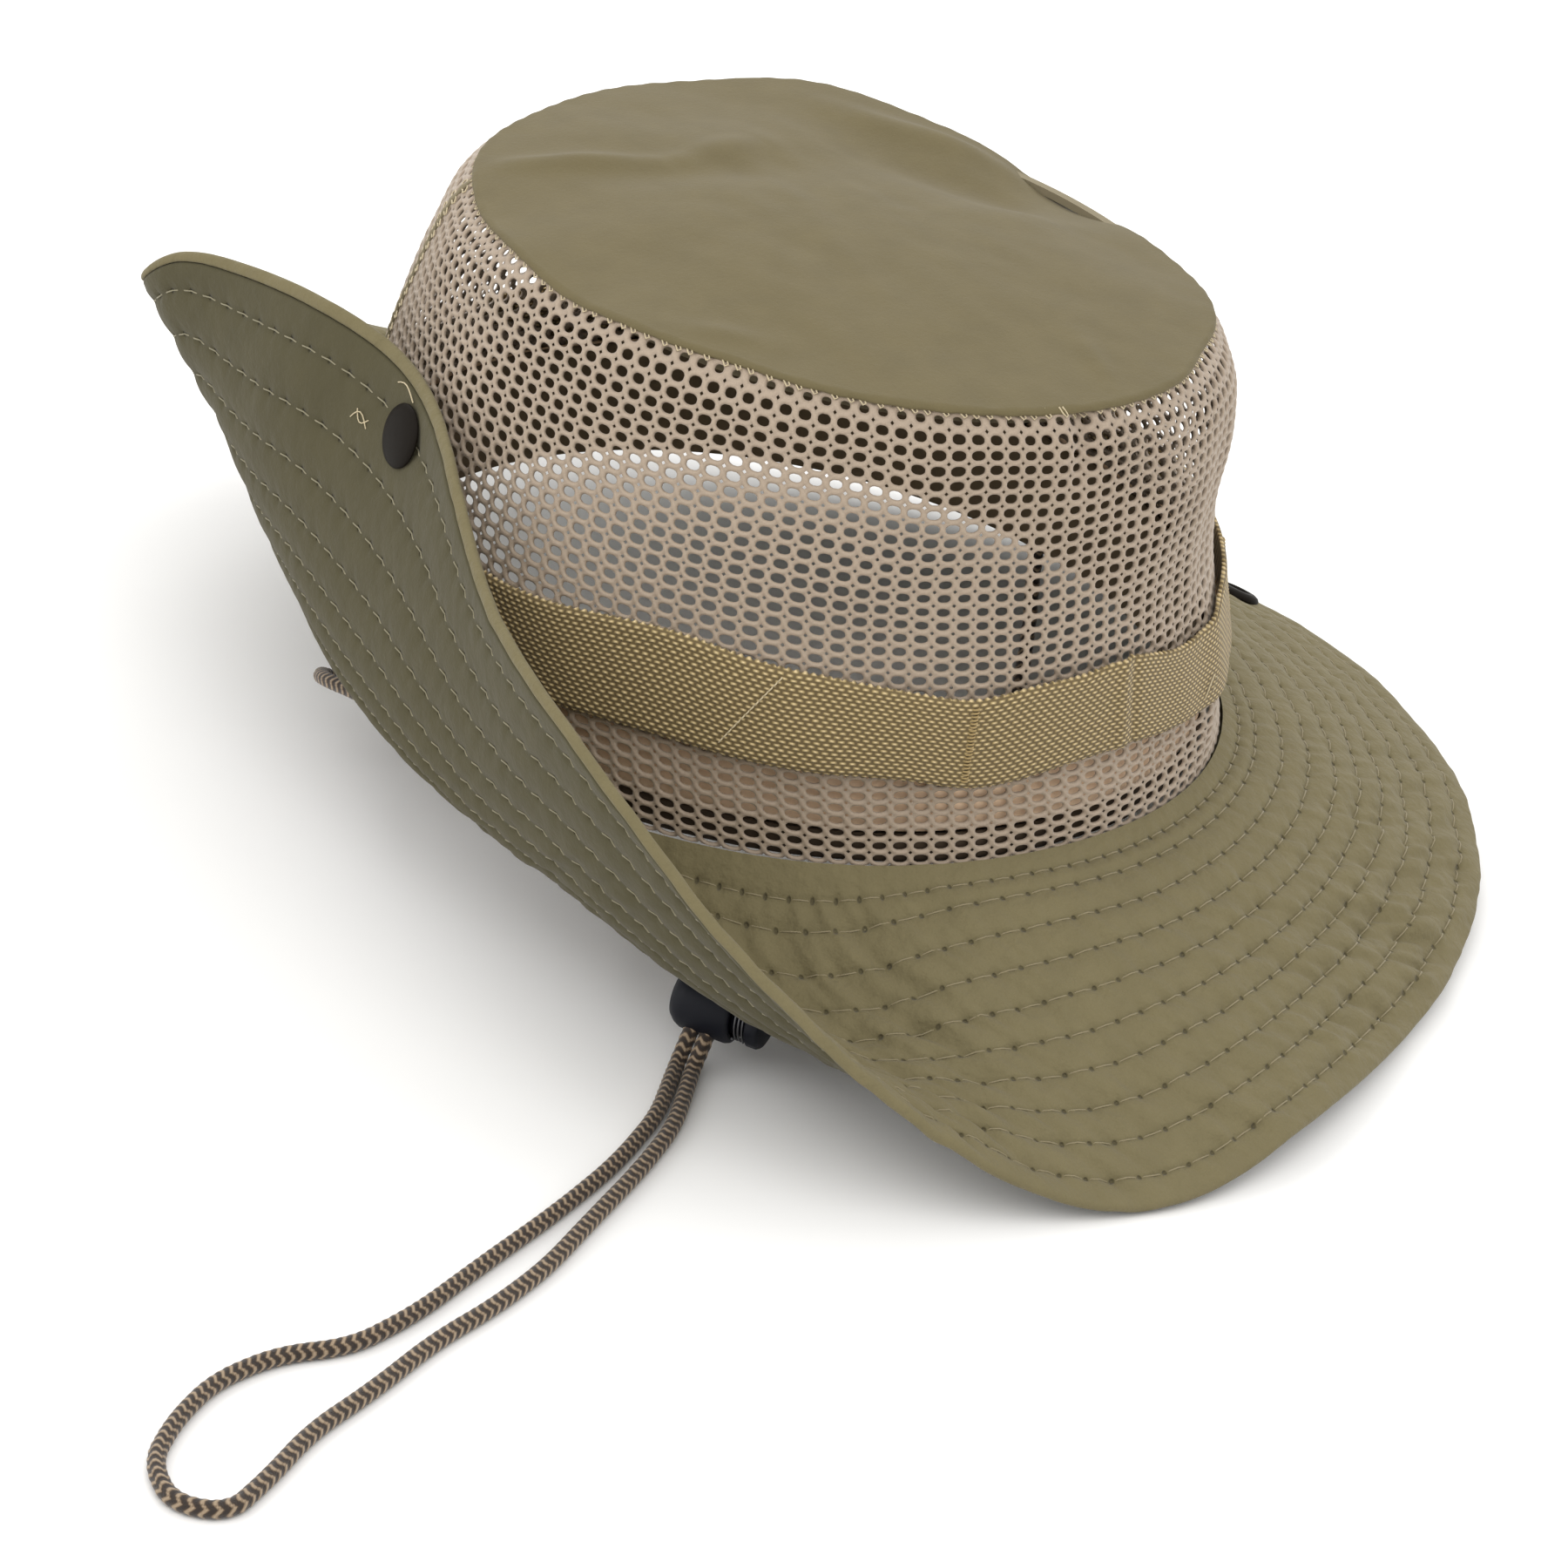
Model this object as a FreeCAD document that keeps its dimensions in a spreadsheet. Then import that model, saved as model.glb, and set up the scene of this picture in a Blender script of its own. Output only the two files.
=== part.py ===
import FreeCAD, Part
import math
import os
from FreeCAD import Vector

# Boonie hat. Millimetres, +Z up, front of the hat towards -Y, origin at the middle of the head opening.
# The right side of the brim (-X) is folded up and snapped to the crown; the left side (+X) is down.

doc = FreeCAD.newDocument("boonie_hat")
par = doc.addObject("Spreadsheet::Sheet", "Dimensions")

VALUES = {
    "brimPly": 0.55, "brimCore": 0.7, "plyGap": 0.05, "foldGap": 3.4, "leftFoldGap": 2.4,
    "meshThick": 1.1, "tipThick": 0.7, "tipRise": 6.0,
    "webWidth": 20.0, "webThick": 1.3, "webStandoff": 0.9, "webLift": 1.9, "webBase": 20.2,
    "sweatWidth": 26.0, "sweatThick": 1.4, "sweatInset": 3.4, "sweatSide": 3.0, "sweatBase": 1.2,
    "openHalfWidth": 90.0, "openHalfLength": 97.0,
    "tapeWidth": 9.0, "tapeThick": 0.7, "tapeHalfLength": 82.6, "tapeHalfWidth": 66.0, "tapeDepth": 2.0,
    "tapeHeight": 1.6,
    "snapRadius": 6.6, "capHeight": 1.3, "socketRadius": 5.6, "socketHole": 2.9, "socketHeight": 1.5,
    "socketFloor": 0.5, "studFlange": 5.2, "studFlangeHeight": 0.7, "studRadius": 2.2, "studHeight": 1.8,
    "postRadius": 5.0, "postHeight": 1.0, "snapGap": 0.08, "studGap": 0.35,
    "rightCapGap": 0.62, "leftCapGap": 0.1,
    "cordRadius": 1.6, "slotHalf": 3.55, "slotRound": 1.95,
    "lockRadius": 6.5, "lockLeft": 7.2, "lockRight": 6.2, "lockBore": 4.65, "lockFloor": 6.1,
    "stemRadius": 4.3, "stemLeft": 4.4, "stemRight": 10.0, "windowLeft": 3.55, "windowRight": 5.2,
    "headRadius": 5.6, "headStart": 9.6, "headEnd": 12.4,
    "springWire": 0.45, "springRadius": 5.0, "springStart": 6.65, "springEnd": 9.15, "springTurns": 3.0,
    "tackLength": 17.0, "tackWidth": 1.2, "tackHeight": 0.6,
}
for row, name in enumerate(VALUES, start=1):
    par.set("A%d" % row, str(VALUES[name]))
    par.setAlias("A%d" % row, name)
doc.recompute()
V = {name: float(par.get(name)) for name in VALUES}

# ---------------------------------------------------------------- curves and surfaces

RELAX_ROUNDS = 60
HALVINGS = 40


class SmoothRow:
    """Cubic spline through rows of numbers; period closes it into a loop."""

    def __init__(self, keys, rows, period=0.0):
        self.keys, self.rows, self.period = keys, rows, period
        n = len(keys)
        self.slopes = [[0.0] * len(rows[0]) for _ in rows]
        for _ in range(RELAX_ROUNDS):
            for i in range(n):
                self.relax(i, n)

    def span(self, i):
        """Length from key i to the next."""
        n = len(self.keys)
        step = self.keys[(i + 1) % n] - self.keys[i % n]
        return step % self.period if self.period else step

    def relax(self, i, n):
        here, m = self.rows[i], self.slopes
        for c in range(len(here)):
            if not self.period and i == 0:
                m[i][c] = (3 * (self.rows[1][c] - here[c]) / self.span(0) - m[1][c]) / 2
            elif not self.period and i == n - 1:
                m[i][c] = (3 * (here[c] - self.rows[i - 1][c]) / self.span(i - 1) - m[i - 1][c]) / 2
            else:
                j = (i + 1) % n
                h0, h1 = self.span(i - 1), self.span(i)
                pull = 3 * (h1 * (here[c] - self.rows[i - 1][c]) / h0 + h0 * (self.rows[j][c] - here[c]) / h1)
                m[i][c] = (pull - h1 * m[i - 1][c] - h0 * m[j][c]) / (2 * (h0 + h1))

    def at(self, t):
        n = len(self.keys)
        if self.period:
            t = self.keys[0] + (t - self.keys[0]) % self.period
            last = n - 1
        else:
            last = n - 2
        i = last
        for k in range(last):
            if t < self.keys[k + 1]:
                i = k
                break
        j = (i + 1) % n
        h = self.span(i)
        u = (t - self.keys[i]) / h
        out = []
        for c in range(len(self.rows[i])):
            out.append((2 * u ** 3 - 3 * u ** 2 + 1) * self.rows[i][c] + (u ** 3 - 2 * u ** 2 + u) * h
                       * self.slopes[i][c] + (3 * u ** 2 - 2 * u ** 3) * self.rows[j][c]
                       + (u ** 3 - u ** 2) * h * self.slopes[j][c])
        return out


def power(value, exponent):
    return math.copysign(abs(value) ** exponent, value)


OPEN_ROUNDNESS = 2.1


def seam(angle):
    """Point and outward direction of the brim seam, the edge of the head opening."""
    c, s = math.cos(math.radians(angle)), math.sin(math.radians(angle))
    e = OPEN_ROUNDNESS
    nx, ny = power(c, 2 - 2 / e) / V["openHalfWidth"], power(s, 2 - 2 / e) / V["openHalfLength"]
    length = math.hypot(nx, ny)
    return (V["openHalfWidth"] * power(c, 2 / e), V["openHalfLength"] * power(s, 2 / e),
            nx / length, ny / length)


# Brim stations: angle; outer edge x, y, z; slope at the seam; slope at the edge; two handle lengths.
BRIM = [
    (-90, 3, -165, -31, -24, -24, 25, 25), (-70, 51, -147, -33, -24, -32, 25, 25),
    (-50, 98, -120, -34, -22, -32, 25, 25), (-30, 137, -80, -31, -22, -26, 25, 25),
    (0, 159, 0, -30, -22, -24, 25, 25), (30, 139, 81, -30, -22, -24, 25, 25),
    (50, 105, 126, -27, -20, -20, 25, 25), (70, 57, 160, -15, -12, -10, 25, 25),
    (90, 2, 166, 4, -4, 6, 25, 25), (105, -53, 150, 30, 4, 32, 25, 25),
    (120, -91, 113, 53, -4, 62, 20, 26), (130, -92, 99, 63, -20, 84, 14, 32),
    (140, -88, 82, 67, -38, 100, 11, 41), (155, -86, 55, 70, -56, 104, 12, 45),
    (170, -84, 26, 66, -62, 108, 18, 44), (180, -93, -2, 60, -64, 100, 22, 41),
    (190, -103, -28, 50, -66, 88, 25, 37), (205, -113, -73, 41, -61, 70, 30, 32),
    (220, -105, -108, 18, -53, 46, 42, 22), (235, -83, -141, -11, -46, 8, 46, 19),
    (250, -43, -162, -35, -28, -22, 28, 25),
]
BRIM_CURVE = SmoothRow([row[0] for row in BRIM], [row[1:] for row in BRIM], 360.0)

# The snap draws the raised brim in towards the crown around it.
SNAP_ANGLE, SNAP_SHARE = 172.0, 0.91
SNAP_PULL = Vector(1.95, -0.3, -0.1)
PULL_ANGLE, PULL_SHARE = 10.0, 0.17


def brim_point(angle, s):
    """Middle surface of the brim: s runs from the seam (0) to the outer edge (1)."""
    x, y, nx, ny = seam(angle)
    ex, ey, ez, a1, a2, l1, l2 = BRIM_CURVE.at(angle)
    a1, a2 = math.radians(a1), math.radians(a2)
    p0 = Vector(x, y, 0)
    p1 = p0 + Vector(nx * math.cos(a1), ny * math.cos(a1), math.sin(a1)) * l1
    p3 = Vector(ex, ey, ez)
    p2 = p3 - Vector(nx * math.cos(a2), ny * math.cos(a2), math.sin(a2)) * l2
    r = 1 - s
    p = p0 * r ** 3 + p1 * (3 * r * r * s) + p2 * (3 * r * s * s) + p3 * s ** 3
    near = ((angle - SNAP_ANGLE) / PULL_ANGLE) ** 2 + ((s - SNAP_SHARE) / PULL_SHARE) ** 2
    return p + SNAP_PULL * math.exp(-near)


# Where the right flap starts, as a share of the brim's width. Beyond 1 there is no flap.
RIGHT_FOLD = [
    (118, 1.10), (124, 0.96), (130, 0.85), (136, 0.72), (142, 0.59), (150, 0.45), (160, 0.34), (170, 0.30),
    (180, 0.30), (190, 0.32), (205, 0.34), (215, 0.38), (222, 0.44), (229, 0.55), (235, 0.72), (241, 0.92),
    (246, 1.10),
]
RIGHT_CURVE = SmoothRow([row[0] for row in RIGHT_FOLD], [row[1:] for row in RIGHT_FOLD])
NO_FLAP = 1.2
RIGHT_RANGE = (125.0, 240.0)
LEFT_FOLD_X = 95.0
LEFT_RANGE = (-48.0, 50.0)


def right_start(angle):
    if RIGHT_FOLD[0][0] <= angle <= RIGHT_FOLD[-1][0]:
        return RIGHT_CURVE.at(angle)[0]
    return NO_FLAP


def left_start(angle, x_line):
    """Share of the brim's width where it crosses the plane x = x_line."""
    low, high = 0.0, 1.0
    for _ in range(HALVINGS):
        mid = 0.5 * (low + high)
        if brim_point(angle, mid).x < x_line:
            low = mid
        else:
            high = mid
    return low


# Crown wall rings: height, centre x, centre y, half length, half width, roundness exponent.
RINGS = [
    (0.6, 0.0, 0.0, 97.0, 90.0, 2.10), (20.0, -2.0, 0.0, 97.0, 88.0, 2.05), (41.0, -3.6, 0.0, 96.5, 84.0, 1.98),
    (62.0, -2.2, -0.3, 94.0, 79.0, 2.0), (80.0, 0.0, -0.7, 91.0, 74.5, 2.0), (88.0, 0.8, -1.0, 88.3, 71.6, 2.0),
    (92.5, 1.0, -1.0, 85.2, 68.6, 2.0),
]
RING_CURVE = SmoothRow([row[0] for row in RINGS], [row[1:] for row in RINGS])
TIP_HEIGHT = 92.8
TIP_CENTRE = (1.0, -1.0)
TIP_HALF = (69.8, 86.6)
TIP_SWELL = 1.2
DENT_DEPTH, DENT_X, DENT_Y, DENT_SPREAD = 2.4, 0.45, 0.35, 0.3


def wall_point(angle, z, outward=0.0):
    """Outer face of the crown wall, or a line that far outside it."""
    cx, cy, a, b, e = RING_CURVE.at(z)
    c, s = math.cos(math.radians(angle)), math.sin(math.radians(angle))
    return Vector(cx + (b + outward) * power(c, 2 / e), cy + (a + outward) * power(s, 2 / e), z)


def dome_point(u, v):
    """Top panel: the square -1..1 mapped to the top ring's ellipse, risen in the middle."""
    x, y = u * math.sqrt(1 - v * v / 2), v * math.sqrt(1 - u * u / 2)
    inside = max(0.0, 1 - x * x - y * y)
    dent = DENT_DEPTH * math.exp(-((x - DENT_X) ** 2 + (y - DENT_Y) ** 2) / DENT_SPREAD ** 2)
    z = TIP_HEIGHT + V["tipRise"] * inside ** TIP_SWELL - dent * min(1.0, 3 * inside)
    return Vector(TIP_CENTRE[0] + TIP_HALF[0] * x, TIP_CENTRE[1] + TIP_HALF[1] * y, z)


# ---------------------------------------------------------------- solid builders


def offset_grid(point, us, vs, offset, flip=False):
    """Grid of points moved along the surface normal (dv x du) by the offset."""
    du, dv = 0.002 * (us[-1] - us[0]), 0.002 * (vs[-1] - vs[0])
    grid = []
    for u in us:
        line = []
        for v in vs:
            n = (point(u, v + dv) - point(u, v - dv)).cross(point(u + du, v) - point(u - du, v))
            n.normalize()
            if flip:
                n = -n
            line.append(point(u, v) + n * offset)
        grid.append(line)
    return grid


def surface_through(grid):
    surface = Part.BSplineSurface()
    surface.interpolate(grid)
    return surface


def rims(surface):
    """The four boundary curves of a surface, as edges."""
    u0, u1, v0, v1 = surface.bounds()
    curves = (surface.uIso(u0), surface.uIso(u1), surface.vIso(v0), surface.vIso(v1))
    return [curve.toShape() for curve in curves]


def sheet_solid(point, us, vs, low, high, flip=False):
    """Closed solid between two offsets of a surface patch."""
    inner = surface_through(offset_grid(point, us, vs, low, flip))
    outer = surface_through(offset_grid(point, us, vs, high, flip))
    faces = [inner.toShape().Faces[0], outer.toShape().Faces[0]]
    for a, b in zip(rims(inner), rims(outer)):
        faces.append(Part.makeRuledSurface(a, b))
    shell = Part.makeShell(faces)
    shell.sewShape()
    solid = Part.makeSolid(Part.Shell(shell.Faces))
    if solid.Volume < 0:
        solid.reverse()
    return solid


def steps(a, b, n):
    return [a + (b - a) * i / n for i in range(n + 1)]


def add_shape(name, shape):
    obj = doc.addObject("Part::Feature", name)
    obj.Label = name
    obj.Shape = shape
    return obj


exports = []


def keep(obj, name):
    obj.Label = name
    exports.append((obj, name))
    return obj


def frame_on(origin, axis, side=None):
    """Placement whose Z runs along axis and X as near to side as possible."""
    z = Vector(axis)
    z.normalize()
    x = Vector(side) if side else (Vector(1, 0, 0) if abs(z.x) < 0.8 else Vector(0, 1, 0))
    x = x - z * x.dot(z)
    x.normalize()
    y = z.cross(x)
    matrix = FreeCAD.Matrix(x.x, y.x, z.x, origin[0], x.y, y.y, z.y, origin[1], x.z, y.z, z.z, origin[2],
                            0, 0, 0, 1)
    return FreeCAD.Placement(matrix)


def cylinder(name, radius, height, placement):
    obj = doc.addObject("Part::Cylinder", name)
    obj.setExpression("Radius", radius)
    obj.setExpression("Height", height)
    obj.Placement = placement
    return obj


def cut(name, base, tool):
    obj = doc.addObject("Part::Cut", name)
    obj.Base = base
    obj.Tool = tool
    return obj


def fuse(name, shapes):
    obj = doc.addObject("Part::MultiFuse", name)
    obj.Shapes = shapes
    return obj


# ---------------------------------------------------------------- brim plies

half = V["brimCore"] / 2
ply = V["brimPly"]
gap = V["plyGap"]
PLIES = {"upper": (half + gap, half + gap + ply), "core": (-half, half),
         "lower": (-half - gap - ply, -half - gap)}


NEAR_FOLD = 1.15
STEEPEST = 2.0
SHARE_STEP = 0.05
FLAP_MARGIN = 4.0


def fixed_limit(angle):
    """Outer limit of the fixed brim: the whole width, or up to the gap before a fold line."""
    start = right_start(angle % 360)
    turned = (angle + 180) % 360 - 180
    if start < NEAR_FOLD:
        slant = abs(right_start(angle % 360 + 2) - right_start(angle % 360 - 2)) / 4
        shares = min(start, 1.0)
        per_share = (brim_point(angle, shares) - brim_point(angle, shares - SHARE_STEP)).Length / SHARE_STEP
        per_degree = (brim_point(angle + 1, shares) - brim_point(angle - 1, shares)).Length / 2
        stretch = math.hypot(1.0, min(STEEPEST, slant * per_share / per_degree))
        return min(1.0, start - V["foldGap"] * stretch / per_share)
    if LEFT_RANGE[0] - FLAP_MARGIN <= turned <= LEFT_RANGE[1] + FLAP_MARGIN:
        return min(1.0, left_start(turned, LEFT_FOLD_X - V["leftFoldGap"]))
    return 1.0


def fixed_point(u, v):
    return brim_point(u, v * fixed_limit(u))


for half_name, a0, a1 in (("front", 180.2, 359.8), ("rear", 0.2, 179.8)):
    for kind, (low, high) in PLIES.items():
        name = "brim_%s_%s" % (kind, half_name)
        keep(add_shape(name, sheet_solid(fixed_point, steps(a0, a1, 44), steps(0, 1, 6), low, high)), name)


def right_flap_point(u, v):
    s0 = right_start(u)
    return brim_point(u, s0 + (1 - s0) * v)


def left_flap_point(u, v):
    s0 = left_start(u, LEFT_FOLD_X)
    return brim_point(u, s0 + (1 - s0) * v)


for side, surface, limits, count in (("right", right_flap_point, RIGHT_RANGE, 30),
                                     ("left", left_flap_point, LEFT_RANGE, 20)):
    for kind, (low, high) in PLIES.items():
        name = "%s_flap_%s" % (side, kind)
        shape = sheet_solid(surface, steps(limits[0], limits[1], count), steps(0, 1, 6), low, high)
        keep(add_shape(name, shape), name)

# ---------------------------------------------------------------- crown

SEAM_ANGLES = (40.0, 140.0)
thick = V["meshThick"]
z_rows = [0.6, 10, 20, 30, 41, 52, 62, 72, 80, 85, 88.5, 91.6]


def mesh_panel(name, a0, a1, n):
    keep(add_shape(name, sheet_solid(wall_point, steps(a0, a1, n), z_rows, -thick, 0.0, True)), name)


PANEL_GAP = 0.15
mesh_panel("mesh_panel_rear", SEAM_ANGLES[0] + PANEL_GAP, SEAM_ANGLES[1] - PANEL_GAP, 14)
mesh_panel("mesh_panel_front", SEAM_ANGLES[1] + PANEL_GAP, 360 + SEAM_ANGLES[0] - PANEL_GAP, 34)

tape_face = -thick - 0.1
for name, angle in (("left_seam_tape", SEAM_ANGLES[0]), ("right_seam_tape", SEAM_ANGLES[1])):
    spread = math.degrees(V["tapeWidth"] / 2 / V["openHalfWidth"])
    shape = sheet_solid(wall_point, steps(angle - spread, angle + spread, 4), [30, 41, 52, 62, 72, 80, 84],
                        tape_face - V["tapeThick"], tape_face, True)
    keep(add_shape(name, shape), name)

tip = sheet_solid(dome_point, steps(-0.97, 0.97, 12), steps(-0.97, 0.97, 12), -V["tipThick"], 0.0, True)
keep(add_shape("crown_tip", tip), "crown_tip")


def oval(name, half_length, half_width):
    profile = doc.addObject("Part::Ellipse", name)
    profile.setExpression("MajorRadius", half_length)
    profile.setExpression("MinorRadius", half_width)
    return profile


def oval_ring(name, outer, inner, height, placement):
    rings = []
    for tag, profile in (("outer", outer), ("inner", inner)):
        solid = doc.addObject("Part::Extrusion", name + "_" + tag + "_solid")
        solid.Base = profile
        solid.DirMode = "Custom"
        solid.Dir = Vector(0, 0, 1)
        solid.Solid = True
        solid.setExpression("LengthFwd", height)
        profile.Placement = placement
        rings.append(solid)
    return cut(name, rings[0], rings[1])


across = FreeCAD.Rotation(Vector(0, 0, 1), 90)

# Binding under the top seam: an oval ring inside the wall.
tape_outer = oval("tip_tape_outer", "Dimensions.tapeHalfLength", "Dimensions.tapeHalfWidth")
tape_inner = oval("tip_tape_inner", "Dimensions.tapeHalfLength - Dimensions.tapeDepth",
                  "Dimensions.tapeHalfWidth - Dimensions.tapeDepth")
tape_place = FreeCAD.Placement(Vector(TIP_CENTRE[0], TIP_CENTRE[1], 88.6), across)
keep(oval_ring("tip_seam_tape", tape_outer, tape_inner, "Dimensions.tapeHeight", tape_place), "tip_seam_tape")

# Sweatband: an oval ring just inside the mesh, from the brim seam upwards.
SWEAT_SHIFT = -1.4
band_outer = oval("sweat_outer", "Dimensions.openHalfLength - Dimensions.sweatInset",
                  "Dimensions.openHalfWidth - Dimensions.sweatInset - Dimensions.sweatSide")
band_inner = oval("sweat_inner", "Dimensions.openHalfLength - Dimensions.sweatInset - Dimensions.sweatThick",
                  "Dimensions.openHalfWidth - Dimensions.sweatInset - Dimensions.sweatSide"
                  " - Dimensions.sweatThick")
band_place = FreeCAD.Placement(Vector(SWEAT_SHIFT, 0, V["sweatBase"]), across)
keep(oval_ring("sweatband", band_outer, band_inner, "Dimensions.sweatWidth", band_place), "sweatband")

# Webbing round the crown, its ends meeting at the back; it stands off the mesh at the front left.
LIFT_ANGLE, LIFT_SPREAD = -10.0, 16.0


def web_point(u, v):
    turned = (u - LIFT_ANGLE + 180) % 360 - 180
    lift = V["webLift"] * math.exp(-(turned / LIFT_SPREAD) ** 2)
    return wall_point(u, V["webBase"] + v * V["webWidth"], V["webStandoff"] + lift)


web_shape = sheet_solid(web_point, steps(90.1, 449.9, 72), steps(0, 1, 4), 0.0, V["webThick"], True)
keep(add_shape("hat_band", web_shape), "hat_band")


def web_normal(u):
    p = web_point(u, 0.5)
    t = web_point(u + 0.5, 0.5) - web_point(u - 0.5, 0.5)
    w = web_point(u, 0.9) - web_point(u, 0.1)
    n = t.cross(w)
    n.normalize()
    return p, n, w


TACK_ANGLES = (252.0, 322.0, 60.0, 160.0)
TACK_GAP = 0.12
tacks = []
for index, angle in enumerate(TACK_ANGLES):
    p, n, w = web_normal(angle)
    bar = doc.addObject("Part::Box", "tack_%d" % index)
    bar.setExpression("Length", "Dimensions.tackLength")
    bar.setExpression("Width", "Dimensions.tackWidth")
    bar.setExpression("Height", "Dimensions.tackHeight")
    spot = frame_on(p + n * (V["webThick"] + TACK_GAP), n, w)
    shift = FreeCAD.Placement(Vector(-V["tackLength"] / 2, -V["tackWidth"] / 2, 0), FreeCAD.Rotation())
    bar.Placement = spot.multiply(shift)
    tacks.append(bar)
keep(fuse("band_tacks", tacks), "band_tacks")

# ---------------------------------------------------------------- press snaps

def snap_set(side, brim_angle, brim_share, wall_angle, wall_z):
    """Cap and socket through the brim, stud and post through the crown wall."""
    p = brim_point(brim_angle, brim_share)
    n = (brim_point(brim_angle, brim_share + 0.02) - brim_point(brim_angle, brim_share - 0.02)).cross(
        brim_point(brim_angle + 1, brim_share) - brim_point(brim_angle - 1, brim_share))
    n.normalize()
    face = half + gap + ply
    cap = cylinder(side + "_snap_cap", "Dimensions.snapRadius", "Dimensions.capHeight",
                   frame_on(p - n * (face + V[side + "CapGap"] + V["capHeight"]), n))
    keep(cap, side + "_snap_cap")
    ring = cylinder(side + "_socket_ring", "Dimensions.socketRadius", "Dimensions.socketHeight",
                    frame_on(p + n * (face + V["snapGap"]), n))
    hole = cylinder(side + "_socket_hole", "Dimensions.socketHole", "Dimensions.socketHeight",
                    frame_on(p + n * (face + V["snapGap"] + V["socketFloor"]), n))
    keep(cut(side + "_snap_socket", ring, hole), side + "_snap_socket")
    w = wall_point(wall_angle, wall_z)
    m = (wall_point(wall_angle + 0.5, wall_z) - wall_point(wall_angle - 0.5, wall_z)).cross(
        wall_point(wall_angle, wall_z + 1) - wall_point(wall_angle, wall_z - 1))
    m.normalize()
    spot = frame_on(w + m * V["studGap"], m)
    flange = cylinder(side + "_stud_flange", "Dimensions.studFlange", "Dimensions.studFlangeHeight", spot)
    nose = cylinder(side + "_stud_nose", "Dimensions.studRadius", "Dimensions.studHeight", spot)
    keep(fuse(side + "_snap_stud", [flange, nose]), side + "_snap_stud")
    back = frame_on(w - m * (thick + V["studGap"] + V["postHeight"]), m)
    keep(cylinder(side + "_snap_post", "Dimensions.postRadius", "Dimensions.postHeight", back),
         side + "_snap_post")
    return w - p, n


offset, direction = snap_set("right", SNAP_ANGLE, SNAP_SHARE, 167.4, 52.8)
snap_set("left", 3.5, 0.84, 6.0, 52.7)
reach = offset.dot(direction)
print("right snap: brim to wall %.2f mm, off axis %.2f mm" % (reach, (offset - direction * reach).Length))

# ---------------------------------------------------------------- tubes along rounded paths

ARC_SHARE = 0.45


def rounded_wire(points):
    """Straight runs joined by tangent arcs, each as large as its two runs allow."""
    edges = []
    start = points[0]
    radii = []
    for before, corner, after in zip(points, points[1:], points[2:]):
        into, out = corner - before, after - corner
        shorter = min(into.Length, out.Length)
        into.normalize()
        out.normalize()
        turn = into.getAngle(out)
        reach = ARC_SHARE * shorter
        radii.append(reach / math.tan(turn / 2))
        first, last = corner - into * reach, corner + out * reach
        inward = out - into
        inward.normalize()
        centre = corner + inward * (radii[-1] / math.cos(turn / 2))
        edges.append(Part.LineSegment(start, first).toShape())
        edges.append(Part.Arc(first, centre - inward * radii[-1], last).toShape())
        start = last
    edges.append(Part.LineSegment(start, points[-1]).toShape())
    return Part.Wire(edges), radii


def tube(points, radius):
    wire, radii = rounded_wire(points)
    section = Part.Wire([Part.makeCircle(radius, points[0], points[1] - points[0])])
    return wire.makePipeShell([section], True, False), wire, radii


# ---------------------------------------------------------------- chin cord and its lock

LOCK = Vector(-74.5, -79.9, -26.1)
CORD_DIR = Vector(-0.6, -0.3, -0.742)
BARREL_DIR = Vector(0.447, -0.894, 0.0)
CORD_DIR.normalize()
BARREL_DIR = BARREL_DIR - CORD_DIR * BARREL_DIR.dot(CORD_DIR)
BARREL_DIR.normalize()
CROSS_DIR = BARREL_DIR.cross(CORD_DIR)
HALF_PITCH = 1.72


def lock_frame(along):
    """Z along the barrel, X along the cord."""
    return frame_on(LOCK + BARREL_DIR * along, BARREL_DIR, CORD_DIR)


barrel = cylinder("lock_barrel", "Dimensions.lockRadius", "Dimensions.lockLeft + Dimensions.lockRight",
                  lock_frame(-V["lockLeft"]))
barrel_round = doc.addObject("Part::Fillet", "lock_barrel_round")
barrel_round.Base = barrel
bore = cylinder("lock_bore", "Dimensions.lockBore", "Dimensions.lockFloor + Dimensions.lockRight + 1",
                lock_frame(-V["lockFloor"]))


def slot(name, left, right, length):
    """Round-ended slot along the cord: two cylinders and a box."""
    r = V["slotRound"]
    parts = []
    for tag, spot in (("a", -left + r), ("b", right - r)):
        start = LOCK + BARREL_DIR * spot - CORD_DIR * (length / 2)
        parts.append(cylinder(name + "_" + tag, "Dimensions.slotRound", "%gmm" % length,
                              frame_on(start, CORD_DIR)))
    box = doc.addObject("Part::Box", name + "_box")
    box.setExpression("Length", "%gmm" % length)
    box.setExpression("Width", "2 * Dimensions.slotRound")
    box.setExpression("Height", "%gmm" % (left + right - 2 * r))
    middle = LOCK + BARREL_DIR * (-left + r) - CORD_DIR * (length / 2)
    box.Placement = frame_on(middle - CROSS_DIR * r, BARREL_DIR, CORD_DIR)
    parts.append(box)
    return fuse(name, parts)


CLOSED_END, OPEN_END = 2, 3
barrel_round.Edges = [(CLOSED_END, 2.6, 2.6), (OPEN_END, 1.2, 1.2)]
body_slot = slot("lock_slot", V["slotHalf"], V["slotHalf"], 20.0)
keep(cut("cord_lock_body", cut("lock_hollow", barrel_round, bore), body_slot), "cord_lock_body")

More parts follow.
